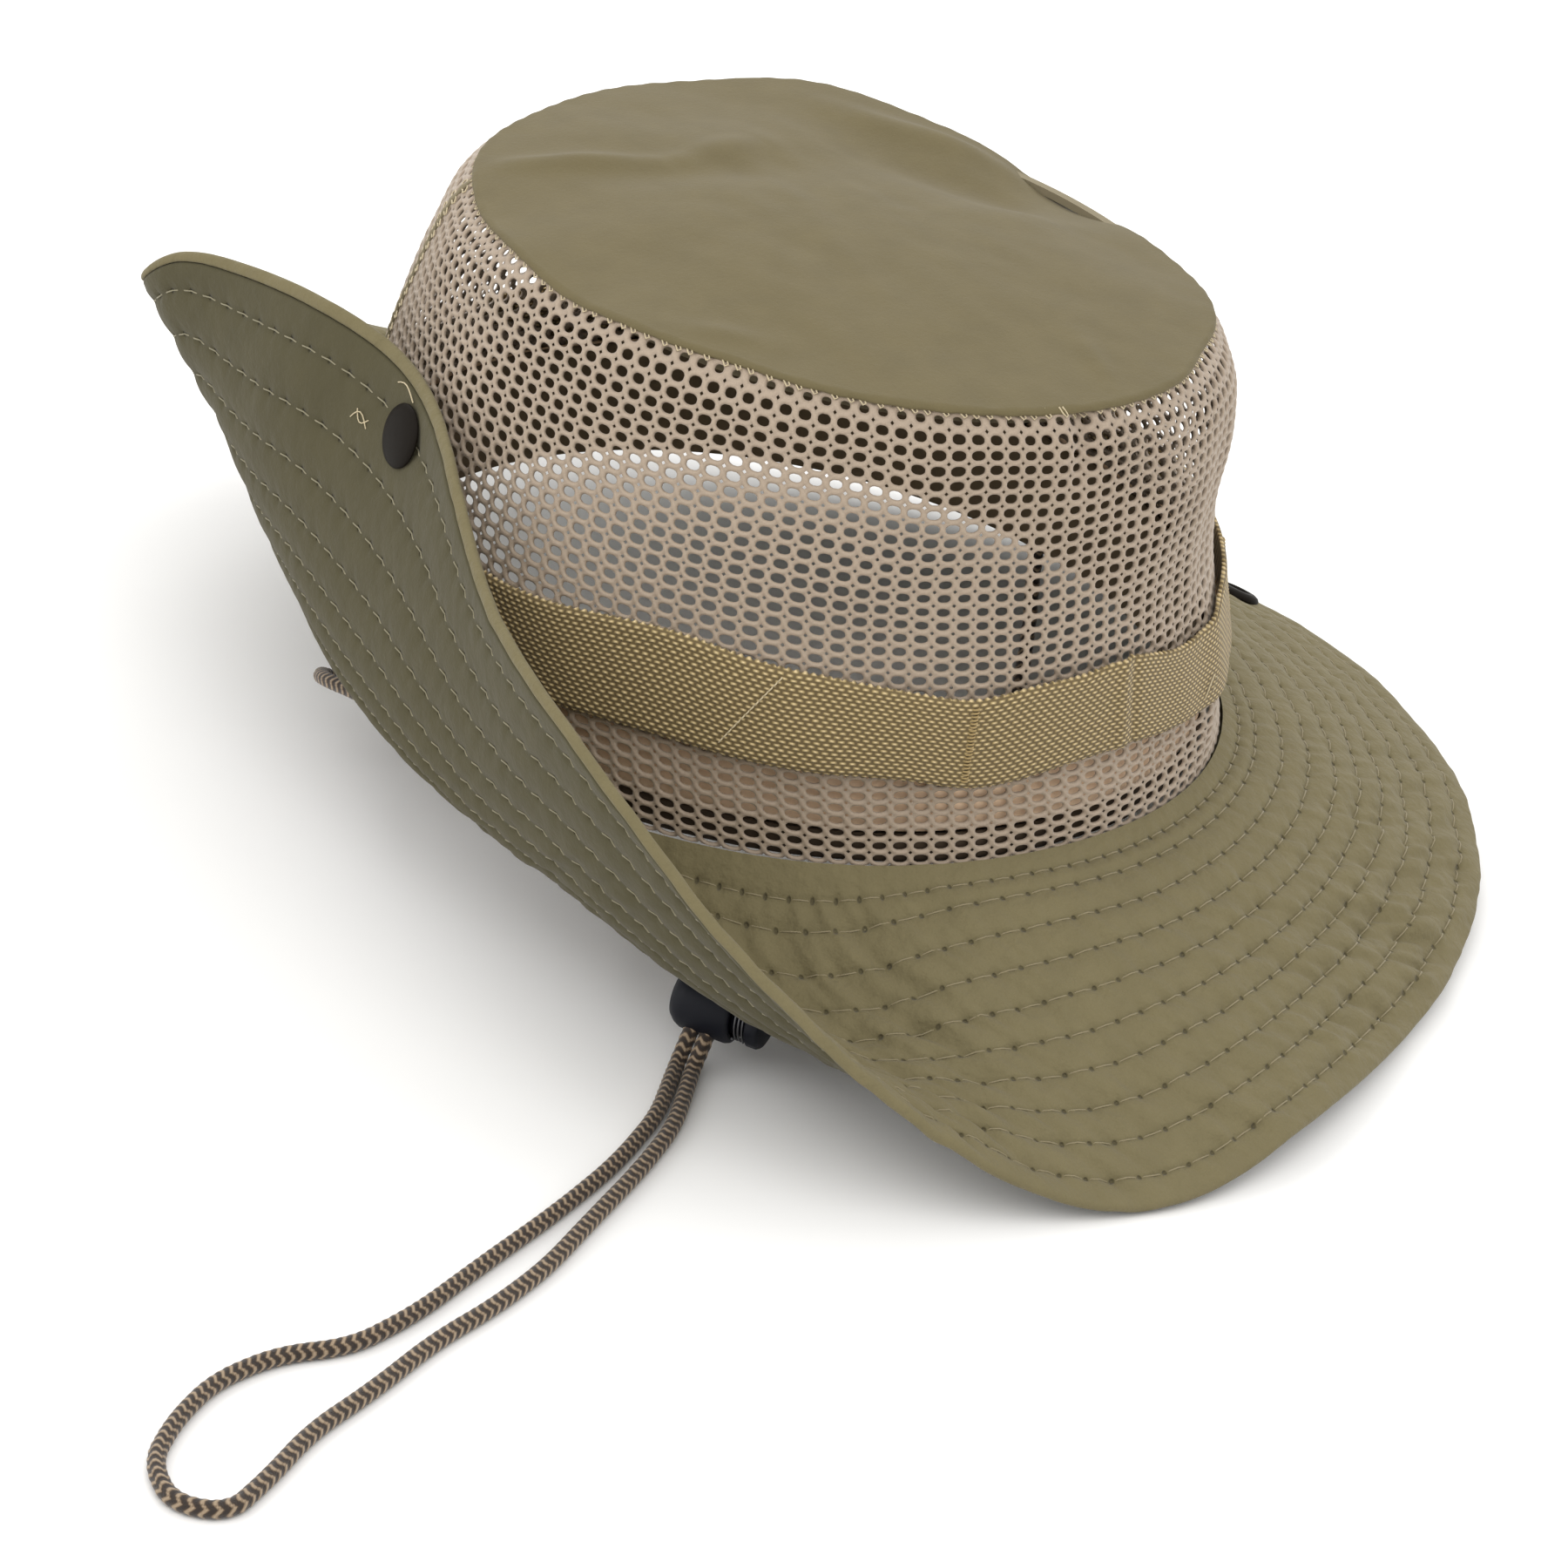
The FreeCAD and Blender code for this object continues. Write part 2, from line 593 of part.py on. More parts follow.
stem = cylinder("lock_stem", "Dimensions.stemRadius", "Dimensions.stemLeft + Dimensions.stemRight",
                lock_frame(-V["stemLeft"]))
head = cylinder("lock_head", "Dimensions.headRadius", "Dimensions.headEnd - Dimensions.headStart",
                lock_frame(V["headStart"]))
head_round = doc.addObject("Part::Fillet", "lock_head_round")
head_round.Base = head
head_round.Edges = [(OPEN_END, 0.9, 0.9)]
stem_slot = slot("stem_slot", V["windowLeft"], V["windowRight"], 18.0)
keep(cut("cord_lock_button", fuse("stem_and_head", [stem, head_round]), stem_slot), "cord_lock_button")

# Return spring: a coil round the stem, between the body and the head.
COIL_POINTS = 10
coil_count = int(COIL_POINTS * V["springTurns"])
coil_corner = V["springRadius"] / math.cos(math.pi / COIL_POINTS)
coil_path = []
for i in range(coil_count + 1):
    turned = 2 * math.pi * i / COIL_POINTS
    rise = (V["springEnd"] - V["springStart"]) * i / coil_count
    coil_path.append(Vector(coil_corner * math.cos(turned), coil_corner * math.sin(turned), rise))
spring = add_shape("cord_lock_spring", tube(coil_path, V["springWire"] / 2)[0])
spring.Placement = lock_frame(V["springStart"])
keep(spring, "cord_lock_spring")

# The cord's route, laid by hand: right end, slack bight on the table, lock, loop out over the table, lock,
# across the opening, left end. The two strands lie side by side in the lock.
STRAND_A = LOCK - BARREL_DIR * HALF_PITCH
STRAND_B = LOCK + BARREL_DIR * HALF_PITCH
LOCK_TOP = CORD_DIR * -11.0
LOCK_FOOT = CORD_DIR * 13.6
TABLE = -36.2
CORD_END = V["sweatBase"] - 0.3
ROUTE = [
    Vector(-83.1, 16, CORD_END), Vector(-83.1, 17.5, -5), Vector(-83.4, 23, -9.6), Vector(-84, 34, -10.6),
    Vector(-83.5, 46, -13.5), Vector(-77, 56, -18.5), Vector(-66, 58.5, -25), Vector(-56, 50, -31.5),
    Vector(-49, 35, -35.4), Vector(-45.5, 15, TABLE), Vector(-47, -8, TABLE), Vector(-51, -30, -34.5),
    Vector(-56.5, -50, -29), Vector(-63, -66, -21),
    STRAND_A + LOCK_TOP, STRAND_A + LOCK_FOOT,
    Vector(-88, -86.5, TABLE), Vector(-98, -95.5, TABLE), Vector(-115, -105.5, TABLE),
    Vector(-135, -113.8, TABLE), Vector(-156, -121, TABLE), Vector(-176, -128.3, TABLE),
    Vector(-192, -131.5, TABLE), Vector(-205, -127.5, TABLE), Vector(-219, -129, TABLE),
    Vector(-231, -135.5, TABLE), Vector(-240.5, -143.5, TABLE), Vector(-243.5, -154.5, TABLE),
    Vector(-236.5, -161.5, TABLE), Vector(-225.5, -156.5, TABLE), Vector(-212, -149, TABLE),
    Vector(-196, -144, TABLE), Vector(-178, -137, TABLE), Vector(-162, -133, TABLE),
    Vector(-147, -127.5, TABLE), Vector(-131, -119, TABLE), Vector(-113, -109.7, TABLE),
    Vector(-97.5, -100.3, TABLE), Vector(-86.4, -89.8, TABLE),
    STRAND_B + LOCK_FOOT, STRAND_B + LOCK_TOP,
    Vector(-58.5, -77, -18), Vector(-45, -70, -23.5), Vector(-30, -60, -30), Vector(-10, -49, -35),
    Vector(14, -38, TABLE), Vector(38, -27, -35.6), Vector(58, -14, -30.5), Vector(71, -3, -23),
    Vector(78.5, 5, -14), Vector(81, 8.7, -6.5), Vector(81.1, 9, CORD_END),
]
cord_shape, cord_wire, cord_radii = tube(ROUTE, V["cordRadius"])
keep(add_shape("chin_cord", cord_shape), "chin_cord")
print("cord length", round(cord_wire.Length, 1), "mm, volume / (section x length)",
      round(cord_shape.Volume / (math.pi * V["cordRadius"] ** 2 * cord_wire.Length), 4))
print("cord arc radii", [round(r, 1) for r in cord_radii])

# ---------------------------------------------------------------- checks and export

doc.recompute()
for obj in doc.Objects:
    state = [s for s in obj.State if s in ("Invalid", "Error")]
    if state:
        raise RuntimeError("%s is %s" % (obj.Name, state))
os.makedirs("parts", exist_ok=True)
for obj, name in exports:
    shape = obj.Shape
    if shape.isNull() or not shape.isValid():
        raise RuntimeError("%s has a bad shape" % name)
    box = shape.BoundBox
    print("%-18s solids %d volume %9.1f  x %.1f..%.1f y %.1f..%.1f z %.1f..%.1f" % (
        name, len(shape.Solids), shape.Volume, box.XMin, box.XMax, box.YMin, box.YMax, box.ZMin, box.ZMax))
    shape.exportStep("parts/%s.step" % name)
print(len(exports), "parts")
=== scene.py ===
import math

import bpy
import numpy as np
from mathutils import Matrix, Vector


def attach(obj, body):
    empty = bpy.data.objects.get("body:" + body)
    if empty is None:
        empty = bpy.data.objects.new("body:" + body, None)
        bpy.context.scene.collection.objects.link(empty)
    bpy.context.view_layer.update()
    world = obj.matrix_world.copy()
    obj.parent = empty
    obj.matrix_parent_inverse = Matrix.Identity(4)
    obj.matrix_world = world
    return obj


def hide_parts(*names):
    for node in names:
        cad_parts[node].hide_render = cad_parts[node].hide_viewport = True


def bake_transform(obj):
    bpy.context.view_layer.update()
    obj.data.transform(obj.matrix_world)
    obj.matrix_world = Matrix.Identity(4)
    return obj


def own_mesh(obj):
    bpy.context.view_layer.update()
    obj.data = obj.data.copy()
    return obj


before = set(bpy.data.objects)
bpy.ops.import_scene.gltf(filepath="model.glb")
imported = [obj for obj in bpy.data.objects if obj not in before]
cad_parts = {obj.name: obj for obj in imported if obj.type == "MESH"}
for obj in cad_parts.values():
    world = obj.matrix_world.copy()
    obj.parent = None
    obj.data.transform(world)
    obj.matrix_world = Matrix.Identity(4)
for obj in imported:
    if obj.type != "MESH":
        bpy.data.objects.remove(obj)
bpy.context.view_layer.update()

# Boonie hat. Shapes are in millimetres, +Z up and the front towards -Y, and go into Blender in metres.
# Angles run round the head opening in degrees: 0 is the wearer's left, 90 the back.
MM = 0.001

# ---- camera

EYE = np.array([-626.01, -704.19, 469.50])
TARGET = np.array([-6.12, -15.73, -25.78])
ROLL = math.radians(8.26)
LENS = 114.0


def make_camera():
    ahead = (TARGET - EYE) / np.linalg.norm(TARGET - EYE)
    right = np.cross(ahead, [0, 0, 1])
    right /= np.linalg.norm(right)
    up = np.cross(right, ahead)
    cam_x = right * math.cos(ROLL) + up * math.sin(ROLL)
    cam_y = -right * math.sin(ROLL) + up * math.cos(ROLL)
    data = bpy.data.cameras.new("Camera")
    data.lens, data.sensor_width = LENS, 36.0
    data.clip_start, data.clip_end = 0.05, 20.0
    cam = bpy.data.objects.new("Camera", data)
    turn = Matrix((cam_x, cam_y, -ahead)).transposed().to_4x4()
    cam.matrix_world = Matrix.Translation(Vector(EYE * MM)) @ turn
    bpy.context.scene.collection.objects.link(cam)
    bpy.context.scene.camera = cam


make_camera()

# ---- curves and surfaces


def power(v, e):
    return np.sign(v) * np.abs(v) ** e


def clamp(v):
    return np.clip(v, 0, 1)


def unit(v):
    return v / np.linalg.norm(v, axis=-1, keepdims=True)


class SmoothRow:
    """Cubic spline through rows of numbers; period closes it into a loop."""

    def __init__(self, table, period=0.0):
        table = np.array(table, float)
        self.keys, self.rows, self.period = table[:, 0], table[:, 1:], period
        keys, rows, n = self.keys, self.rows, len(table)
        self.step = step = np.append(np.diff(keys), keys[0] + period - keys[-1])
        a, b = np.zeros((n, n)), np.zeros(rows.shape)
        for i in range(n):
            j, k = (i + 1) % n, i - 1
            if not period and i in (0, n - 1):
                other, low = (1, 0) if i == 0 else (n - 2, n - 2)
                a[i, i], a[i, other] = 2, 1
                b[i] = 3 * (rows[low + 1] - rows[low]) / step[low]
            else:
                a[i, i], a[i, k], a[i, j] = 2 * (step[k] + step[i]), step[i], step[k]
                b[i] = 3 * (step[i] * (rows[i] - rows[k]) / step[k]
                            + step[k] * (rows[j] - rows[i]) / step[i])
        self.slopes = np.linalg.solve(a, b)

    def at(self, t):
        t = np.asarray(t, float)
        n = len(self.keys)
        if self.period:
            t = self.keys[0] + (t - self.keys[0]) % self.period
        i = np.clip(np.searchsorted(self.keys, t, "right") - 1, 0, n - 1 if self.period else n - 2)
        j = (i + 1) % n
        h = self.step[i][..., None]
        u = (t - self.keys[i])[..., None] / h
        return ((2 * u ** 3 - 3 * u ** 2 + 1) * self.rows[i]
                + (u ** 3 - 2 * u ** 2 + u) * h * self.slopes[i]
                + (3 * u ** 2 - 2 * u ** 3) * self.rows[j] + (u ** 3 - u ** 2) * h * self.slopes[j])


def turned(angle, middle):
    """Signed difference from a middle angle, -180 to 180."""
    return (angle - middle + 180) % 360 - 180


def bell(distance, spread):
    """1 at no distance, fading smoothly over the spread."""
    return np.exp(-(distance / spread) ** 2)


def around(angle, middle, spread):
    """1 at the middle angle, fading over the spread on both sides."""
    return bell(turned(angle, middle), spread)


HASH_X, HASH_Y, HASH_SEED, HASH_SCALE = 127.1, 311.7, 74.7, 43758.5453


def noise(x, y, seed, wrap=0):
    """Smooth value noise from -1 to 1; wrap is the number of cells after which x repeats."""
    x, y = np.broadcast_arrays(np.asarray(x, float), np.asarray(y, float))
    i, j = np.floor(x), np.floor(y)
    fx, fy = x - i, y - j
    fx, fy = fx * fx * (3 - 2 * fx), fy * fy * (3 - 2 * fy)

    def corner(a, b):
        if wrap:
            a = a % wrap
        v = np.sin(a * HASH_X + b * HASH_Y + seed * HASH_SEED) * HASH_SCALE
        return 2 * (v - np.floor(v)) - 1

    low = corner(i, j) * (1 - fx) + corner(i + 1, j) * fx
    high = corner(i, j + 1) * (1 - fx) + corner(i + 1, j + 1) * fx
    return low * (1 - fy) + high * fy


OPEN_HALF_WIDTH, OPEN_HALF_LENGTH, OPEN_ROUNDNESS = 90.0, 97.0, 2.1


def seam(angle):
    """Point and outward direction of the brim seam."""
    t = np.radians(angle)
    c, s, e = np.cos(t), np.sin(t), 2 / OPEN_ROUNDNESS
    point = np.stack([OPEN_HALF_WIDTH * power(c, e), OPEN_HALF_LENGTH * power(s, e), 0 * c], -1)
    out = [power(c, 2 - e) / OPEN_HALF_WIDTH, power(s, 2 - e) / OPEN_HALF_LENGTH, 0 * c]
    return point, unit(np.stack(out, -1))


# Brim stations: angle; outer edge x, y, z; slope at the seam; slope at the edge; two handle lengths.
BRIM = SmoothRow([
    (-90, 3, -165, -31, -24, -24, 25, 25), (-70, 51, -147, -33, -24, -32, 25, 25),
    (-50, 98, -120, -34, -22, -32, 25, 25), (-30, 137, -80, -31, -22, -26, 25, 25),
    (0, 159, 0, -30, -22, -24, 25, 25), (30, 139, 81, -30, -22, -24, 25, 25),
    (50, 105, 126, -27, -20, -20, 25, 25), (70, 57, 160, -15, -12, -10, 25, 25),
    (90, 2, 166, 4, -4, 6, 25, 25), (105, -53, 150, 30, 4, 32, 25, 25),
    (120, -91, 113, 53, -4, 62, 20, 26), (130, -92, 99, 63, -20, 84, 14, 32),
    (140, -88, 82, 67, -38, 100, 11, 41), (155, -86, 55, 70, -56, 104, 12, 45),
    (170, -84, 26, 66, -62, 108, 18, 44), (180, -93, -2, 60, -64, 100, 22, 41),
    (190, -103, -28, 50, -66, 88, 25, 37), (205, -113, -73, 41, -61, 70, 30, 32),
    (220, -105, -108, 18, -53, 46, 42, 22), (235, -83, -141, -11, -46, 8, 46, 19),
    (250, -43, -162, -35, -28, -22, 28, 25),
], 360.0)
# The right flap is drawn towards the crown at its snap, by SNAP_PULL.
SNAP_ANGLE, SNAP_SHARE, SNAP_PULL = 172.0, 0.91, np.array([1.95, -0.3, -0.1])
PULL_ANGLE, PULL_SHARE = 10.0, 0.17
UP = np.array([0, 0, 1.0])


def brim_mid(angle, s):
    """Middle surface of the brim: s runs from the seam (0) to the outer edge (1)."""
    angle, s = np.broadcast_arrays(np.asarray(angle, float), np.asarray(s, float))
    p0, out = seam(angle)
    row = BRIM.at(angle)
    a1, a2 = np.radians(row[..., 3:4]), np.radians(row[..., 4:5])
    p1 = p0 + (out * np.cos(a1) + UP * np.sin(a1)) * row[..., 5:6]
    p3 = row[..., :3]
    p2 = p3 - (out * np.cos(a2) + UP * np.sin(a2)) * row[..., 6:7]
    near = ((angle % 360 - SNAP_ANGLE) / PULL_ANGLE) ** 2 + ((s - SNAP_SHARE) / PULL_SHARE) ** 2
    t = s[..., None]
    r = 1 - t
    return (p0 * r ** 3 + p1 * 3 * r * r * t + p2 * 3 * r * t * t + p3 * t ** 3
            + SNAP_PULL * np.exp(-near)[..., None])


# Steps used to find normals: degrees round the hat, share of the brim's width, millimetres up the wall.
TURN_STEP, SHARE_STEP, RISE_STEP = 0.4, 0.008, 0.5


def brim_normal(angle, s):
    """Upper normal of the brim."""
    along = brim_mid(angle + TURN_STEP, s) - brim_mid(angle - TURN_STEP, s)
    across = brim_mid(angle, s + SHARE_STEP) - brim_mid(angle, s - SHARE_STEP)
    return unit(np.cross(across, along))


# Rings of the crown wall: height; centre x, y; half length, half width; roundness.
RINGS = SmoothRow([
    (0.6, 0.0, 0.0, 97.0, 90.0, 2.10), (20.0, -2.0, 0.0, 97.0, 88.0, 2.05),
    (41.0, -3.6, 0.0, 96.5, 84.0, 1.98), (62.0, -2.2, -0.3, 94.0, 79.0, 2.0),
    (80.0, 0.0, -0.7, 91.0, 74.5, 2.0), (88.0, 0.8, -1.0, 88.3, 71.6, 2.0),
    (92.5, 1.0, -1.0, 85.2, 68.6, 2.0)])


def wall(angle, z, outward=0.0):
    """Outer face of the crown wall, or a line that far outside it."""
    angle, z, outward = np.broadcast_arrays(*(np.asarray(v, float) for v in (angle, z, outward)))
    row = RINGS.at(z)
    c, s = np.cos(np.radians(angle)), np.sin(np.radians(angle))
    e = 2 / row[..., 4]
    return np.stack([row[..., 0] + (row[..., 3] + outward) * power(c, e),
                     row[..., 1] + (row[..., 2] + outward) * power(s, e), z], -1)


def wall_normal(angle, z):
    along = wall(angle + TURN_STEP, z) - wall(angle - TURN_STEP, z)
    upward = wall(angle, z + RISE_STEP) - wall(angle, z - RISE_STEP)
    return unit(np.cross(along, upward))


TIP_HEIGHT, TIP_CENTRE, TIP_HALF, TIP_RISE = 92.8, (1.0, -1.0), (69.8, 86.6), 6.0

# How the soft crown sags at its top seam, as bumps: angle, spread, rise, share drawn inwards.
# A deep dip on the left has a hump behind it; the mesh rolls over at the back right.
SAGS = [(3, 14, -6.0, 0.0), (50, 16, 3.2, 0.0), (-25, 12, -1.8, 0.0), (-15, 9, 0.0, 0.02),
        (-60, 9, 0.0, 0.02), (106, 20, 0.0, 0.037), (152, 9, -1.2, 0.0), (180, 9, -1.4, 0.0),
        (210, 9, 0.0, 0.02)]
DRAWN_IN = 0.013
SAG_FROM, SAG_TO, ROLL_FROM, ROLL_HEIGHT = 62.0, 92.0, 84.0, 28.0


def sag(points, height=None):
    """Points moved with the sagging crown; height says how far up the wall each one belongs."""
    points = np.asarray(points, float)
    height = points[..., 2] if height is None else height
    x, y = points[..., 0] - TIP_CENTRE[0], points[..., 1] - TIP_CENTRE[1]
    angle = np.degrees(np.arctan2(y / TIP_HALF[1], x / TIP_HALF[0]))
    rise, drawn = 0 * angle, DRAWN_IN + 0 * angle
    for middle, spread, lift, share in SAGS:
        near = around(angle, middle, spread)
        rise, drawn = rise + lift * near, drawn + share * near
    reach = np.clip(np.hypot(x / TIP_HALF[0], y / TIP_HALF[1]), 0, 1.2)
    up = clamp((height - SAG_FROM) / (SAG_TO - SAG_FROM)) ** 1.5
    over = clamp((height - ROLL_FROM) / (SAG_TO - ROLL_FROM)) ** 2
    outer = clamp(reach) ** 2
    moved = points.copy()
    moved[..., 0] -= x * drawn * over * outer
    moved[..., 1] -= y * drawn * over * outer
    moved[..., 2] += rise * up * outer + ROLL_HEIGHT * drawn * over * outer * (1 - over)
    return moved


# ---- mesh helpers


def build(name, points, quads, material, body=None, values=None):
    """Mesh piece from points in millimetres, faces and named values per point."""
    points = np.asarray(points, float).reshape(-1, 3)
    quads = np.asarray(quads)
    mesh = bpy.data.meshes.new(name)
    size = quads.shape[1]
    mesh.vertices.add(len(points))
    mesh.vertices.foreach_set("co", (points * MM).astype(np.float32).ravel())
    mesh.loops.add(quads.size)
    mesh.loops.foreach_set("vertex_index", quads.astype(np.int32).ravel())
    mesh.polygons.add(len(quads))
    mesh.polygons.foreach_set("loop_start", np.arange(0, quads.size, size, dtype=np.int32))
    mesh.update(calc_edges=True)
    for key, value in (values or {}).items():
        layer = mesh.attributes.new(key, "FLOAT", "POINT")
        layer.data.foreach_set("value", np.asarray(value, np.float32).ravel())
    mesh.validate()
    mesh.shade_smooth()
    mesh.materials.append(material)
    obj = bpy.data.objects.new(name, mesh)
    bpy.context.scene.collection.objects.link(obj)
    if body:
        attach(obj, body)
    return obj


def grid_quads(rows, cols, close_rows=False, close_cols=False):
    i = np.arange(rows if close_rows else rows - 1)[:, None]
    j = np.arange(cols if close_cols else cols - 1)[None]
    i2, j2 = (i + 1) % rows, (j + 1) % cols
    corners = (i * cols + j, i2 * cols + j, i2 * cols + j2, i * cols + j2)
    return np.stack(np.broadcast_arrays(*corners), -1).reshape(-1, 4)


def skin(name, points, material, body="crown", values=None, close_rows=False):
    """Mesh piece from a grid of points whose columns close into a ring."""
    quads = grid_quads(*points.shape[:2], close_rows=close_rows, close_cols=True)
    return build(name, points, quads, material, body, values)


def tubes(paths, sides, radius, normals=None):
    """Thin tubes, open at both ends: paths is (count, rings, 3); radius may vary along the rings."""
    paths = np.asarray(paths, float)
    count, rings = paths.shape[:2]
    along = unit(np.gradient(paths, axis=1))
    if normals is None:
        normals = np.broadcast_to(UP, paths.shape)
    side = unit(np.cross(along, normals))
    top = np.cross(side, along)
    turn = 2 * np.pi * np.arange(sides) / sides
    radius = np.broadcast_to(np.asarray(radius, float), (count, rings))[..., None, None]
    ring = (paths[:, :, None] + radius * (side[:, :, None] * np.cos(turn)[:, None]
                                          + top[:, :, None] * np.sin(turn)[:, None]))
    one = grid_quads(rings, sides, close_cols=True)
    quads = (one[None] + (np.arange(count) * rings * sides)[:, None, None]).reshape(-1, 4)
    return ring.reshape(-1, 3), quads


def threads(name, paths, radius, material, body="crown"):
    """Short runs of sewing thread."""
    points, quads = tubes(paths, 5, radius)
    obj = build(name, points, quads, material, body)
    return obj


def frame_matrix(origin, axis, side=None):
    """Origin and rows x, y, z of a frame whose z runs along the axis."""
    z = unit(np.asarray(axis, float))
    if side is None:
        side = [1, 0, 0] if abs(z[0]) < 0.8 else [0, 1, 0]
    x = np.asarray(side, float)
    x = unit(x - z * x.dot(z))
    return np.asarray(origin, float), np.stack([x, np.cross(z, x), z])


def lathe(name, profile, spot, material, body, sides=64, ripple=None):
    """Turned piece: profile is a list of (radius, height)."""
    profile = np.array(profile, float)
    turn = 2 * np.pi * np.arange(sides) / sides
    r = profile[:, 0:1] * (1 + (ripple(turn, profile[:, 1:2]) if ripple else 0 * turn))
    height = np.broadcast_to(profile[:, 1:2], r.shape)
    origin, axes = spot
    points = origin + np.stack([r * np.cos(turn), r * np.sin(turn), height], -1) @ axes
    return skin(name, points, material, body)


# ---- materials


def linear(r, g, b):
    """Linear colour from 0-255 display values."""
    v = np.array([r, g, b]) / 255.0
    return tuple(np.where(v <= 0.04045, v / 12.92, ((v + 0.055) / 1.055) ** 2.4)) + (1.0,)


class Shade:
    """A material under construction."""

    def __init__(self, name, colour, roughness, **more):
        self.mat = bpy.data.materials.new(name)
        self.mat.use_nodes = True
        self.tree = self.mat.node_tree
        self.bsdf = self.tree.nodes["Principled BSDF"]
        self.put(self.bsdf, {"Base Color": colour, "Roughness": roughness, **more})

    def put(self, node, inputs):
        for key, value in inputs.items():
            socket = node.inputs[key]
            if isinstance(value, bpy.types.NodeSocket):
                self.tree.links.new(value, socket)
            else:
                socket.default_value = value

    def node(self, kind, settings=None, **inputs):
        node = self.tree.nodes.new("ShaderNode" + kind)
        for key, value in (settings or {}).items():
            setattr(node, key, value)
        self.put(node, {int(k[1:]) if k[0] == "i" and k[1:].isdigit() else k.replace("_", " "): v
                        for k, v in inputs.items()})
        return node

    def math(self, operation, a, b=None, c=None):
        given = {"i%d" % n: v for n, v in enumerate((a, b, c)) if v is not None}
        return self.node("Math", {"operation": operation}, **given).outputs[0]

    def times(self, a, b):
        return self.math("MULTIPLY", a, b)

    def value(self, name):
        return self.node("Attribute", {"attribute_name": name}).outputs["Fac"]

    def noise(self, scale, detail=2.0):
        spot = self.node("TexCoord").outputs["Object"]
        return self.node("TexNoise", Vector=spot, Scale=scale, Detail=detail).outputs["Fac"]

    def ramp(self, factor, stops):
        node = self.node("ValToRGB", Fac=factor)
        elements = node.color_ramp.elements
        while len(elements) < len(stops):
            elements.new(0.5)
        for element, (position, colour) in zip(elements, stops):
            element.position, element.color = position, colour
        return node.outputs["Color"]

    def mix(self, factor, a, b):
        return self.node("Mix", {"data_type": "RGBA"}, i0=factor, i6=a, i7=b).outputs[2]

    def smooth(self, value, low, high):
        """1 below low, 0 above high."""
        return self.node("MapRange", {"interpolation_type": "SMOOTHSTEP"}, Value=value, From_Min=low,
                         From_Max=high, To_Min=1.0, To_Max=0.0).outputs[0]

    def bump(self, height, distance, strength=1.0, normal=None):
        node = self.node("Bump", Height=height, Distance=distance, Strength=strength)
        if normal is not None:
            self.put(node, {"Normal": normal})
        return node.outputs["Normal"]

    def done(self, **inputs):
        self.put(self.bsdf, {k.replace("_", " "): v for k, v in inputs.items()})
        return self.mat


def scaled(colour, k):
    return tuple(c * k for c in colour[:3]) + (1.0,)


def varied(s, factor, colour, spread):
    """The colour, darker and lighter by the spread as the factor goes from 0 to 1."""
    return s.mix(factor, scaled(colour, 1 - spread), scaled(colour, 1 + spread))


PITCH = 5.8  # millimetres from stitch to stitch


def cloth(name, colour, rows=True, crumple=0.0016):
    """Brushed cotton with fine weave; rows adds painted shade, with dents, at the needle holes and along
    the stitch grooves, from the row and phase values.
    """
    nap = {"Sheen Weight": 0.07, "Sheen Roughness": 0.5, "Specular IOR Level": 0.2}
    s = Shade(name, colour, 0.86, **nap)
    blotch = s.noise(140.0, 3.0)
    grain = s.noise(2600.0)
    tint = varied(s, blotch, colour, 0.12)
    tint = s.mix(s.times(grain, 0.35), tint, scaled(colour, 0.72))
    height = s.math("ADD", grain, s.times(s.noise(900.0), 1.2))
    normal = s.bump(height, 0.00012, 0.55)
    if rows:
        normal = s.bump(s.noise(260.0, 3.0), crumple, 0.6, normal)
        away = s.value("row")
        phase = s.math("PINGPONG", s.value("phase"), 0.5)
        step = s.times(phase, PITCH)
        reach = s.math("SQRT", s.math("ADD", s.math("POWER", away, 2.0), s.math("POWER", step, 2.0)))
        # Painted shade: the needle holes at the stitch ends are darkened in the colour; the same mask
        # also dents them in the bump.
        dot = s.smooth(reach, 0.22, 0.62)
        tint = s.mix(s.times(dot, 0.62), tint, scaled(colour, 0.22))
        # Painted shade: the colour darkens along the groove of each stitch row, which the bump also
        # sinks.
        groove = s.smooth(away, 0.1, 1.0)
        tint = s.mix(s.times(groove, 0.16), tint, scaled(colour, 0.45))
        normal = s.bump(s.math("ADD", dot, s.times(groove, 0.25)), -0.0004, 0.8, normal)
    return s.done(Base_Color=tint, Normal=normal)


brim_cloth = cloth("brim_cloth", linear(114, 105, 76))
# Painted shade: the brim's underside is the same cloth, given a darker copy of its colour.
under_cloth_painted_shade = cloth("under_cloth_painted_shade", linear(78, 73, 52), crumple=0.0007)
# Painted shade: the crown's top is the same cloth, coloured darker than the brim to tone down the light
# falling on it.
tip_cloth_painted_shade = cloth("tip_cloth_painted_shade", linear(104, 94, 66), rows=False)


def yarn(name, colour):
    s = Shade(name, colour, 0.6, **{"Sheen Weight": 0.15, "Specular IOR Level": 0.35})
    fibre = s.noise(2600.0)
    tint = varied(s, fibre, colour, 0.12)
    return s.done(Base_Color=tint, Normal=s.bump(fibre, 0.0001, 0.5))


thread_light = yarn("thread_light", linear(132, 121, 92))
thread_under = yarn("thread_under", linear(136, 129, 104))
thread_loop = yarn("thread_loop", linear(190, 175, 142))


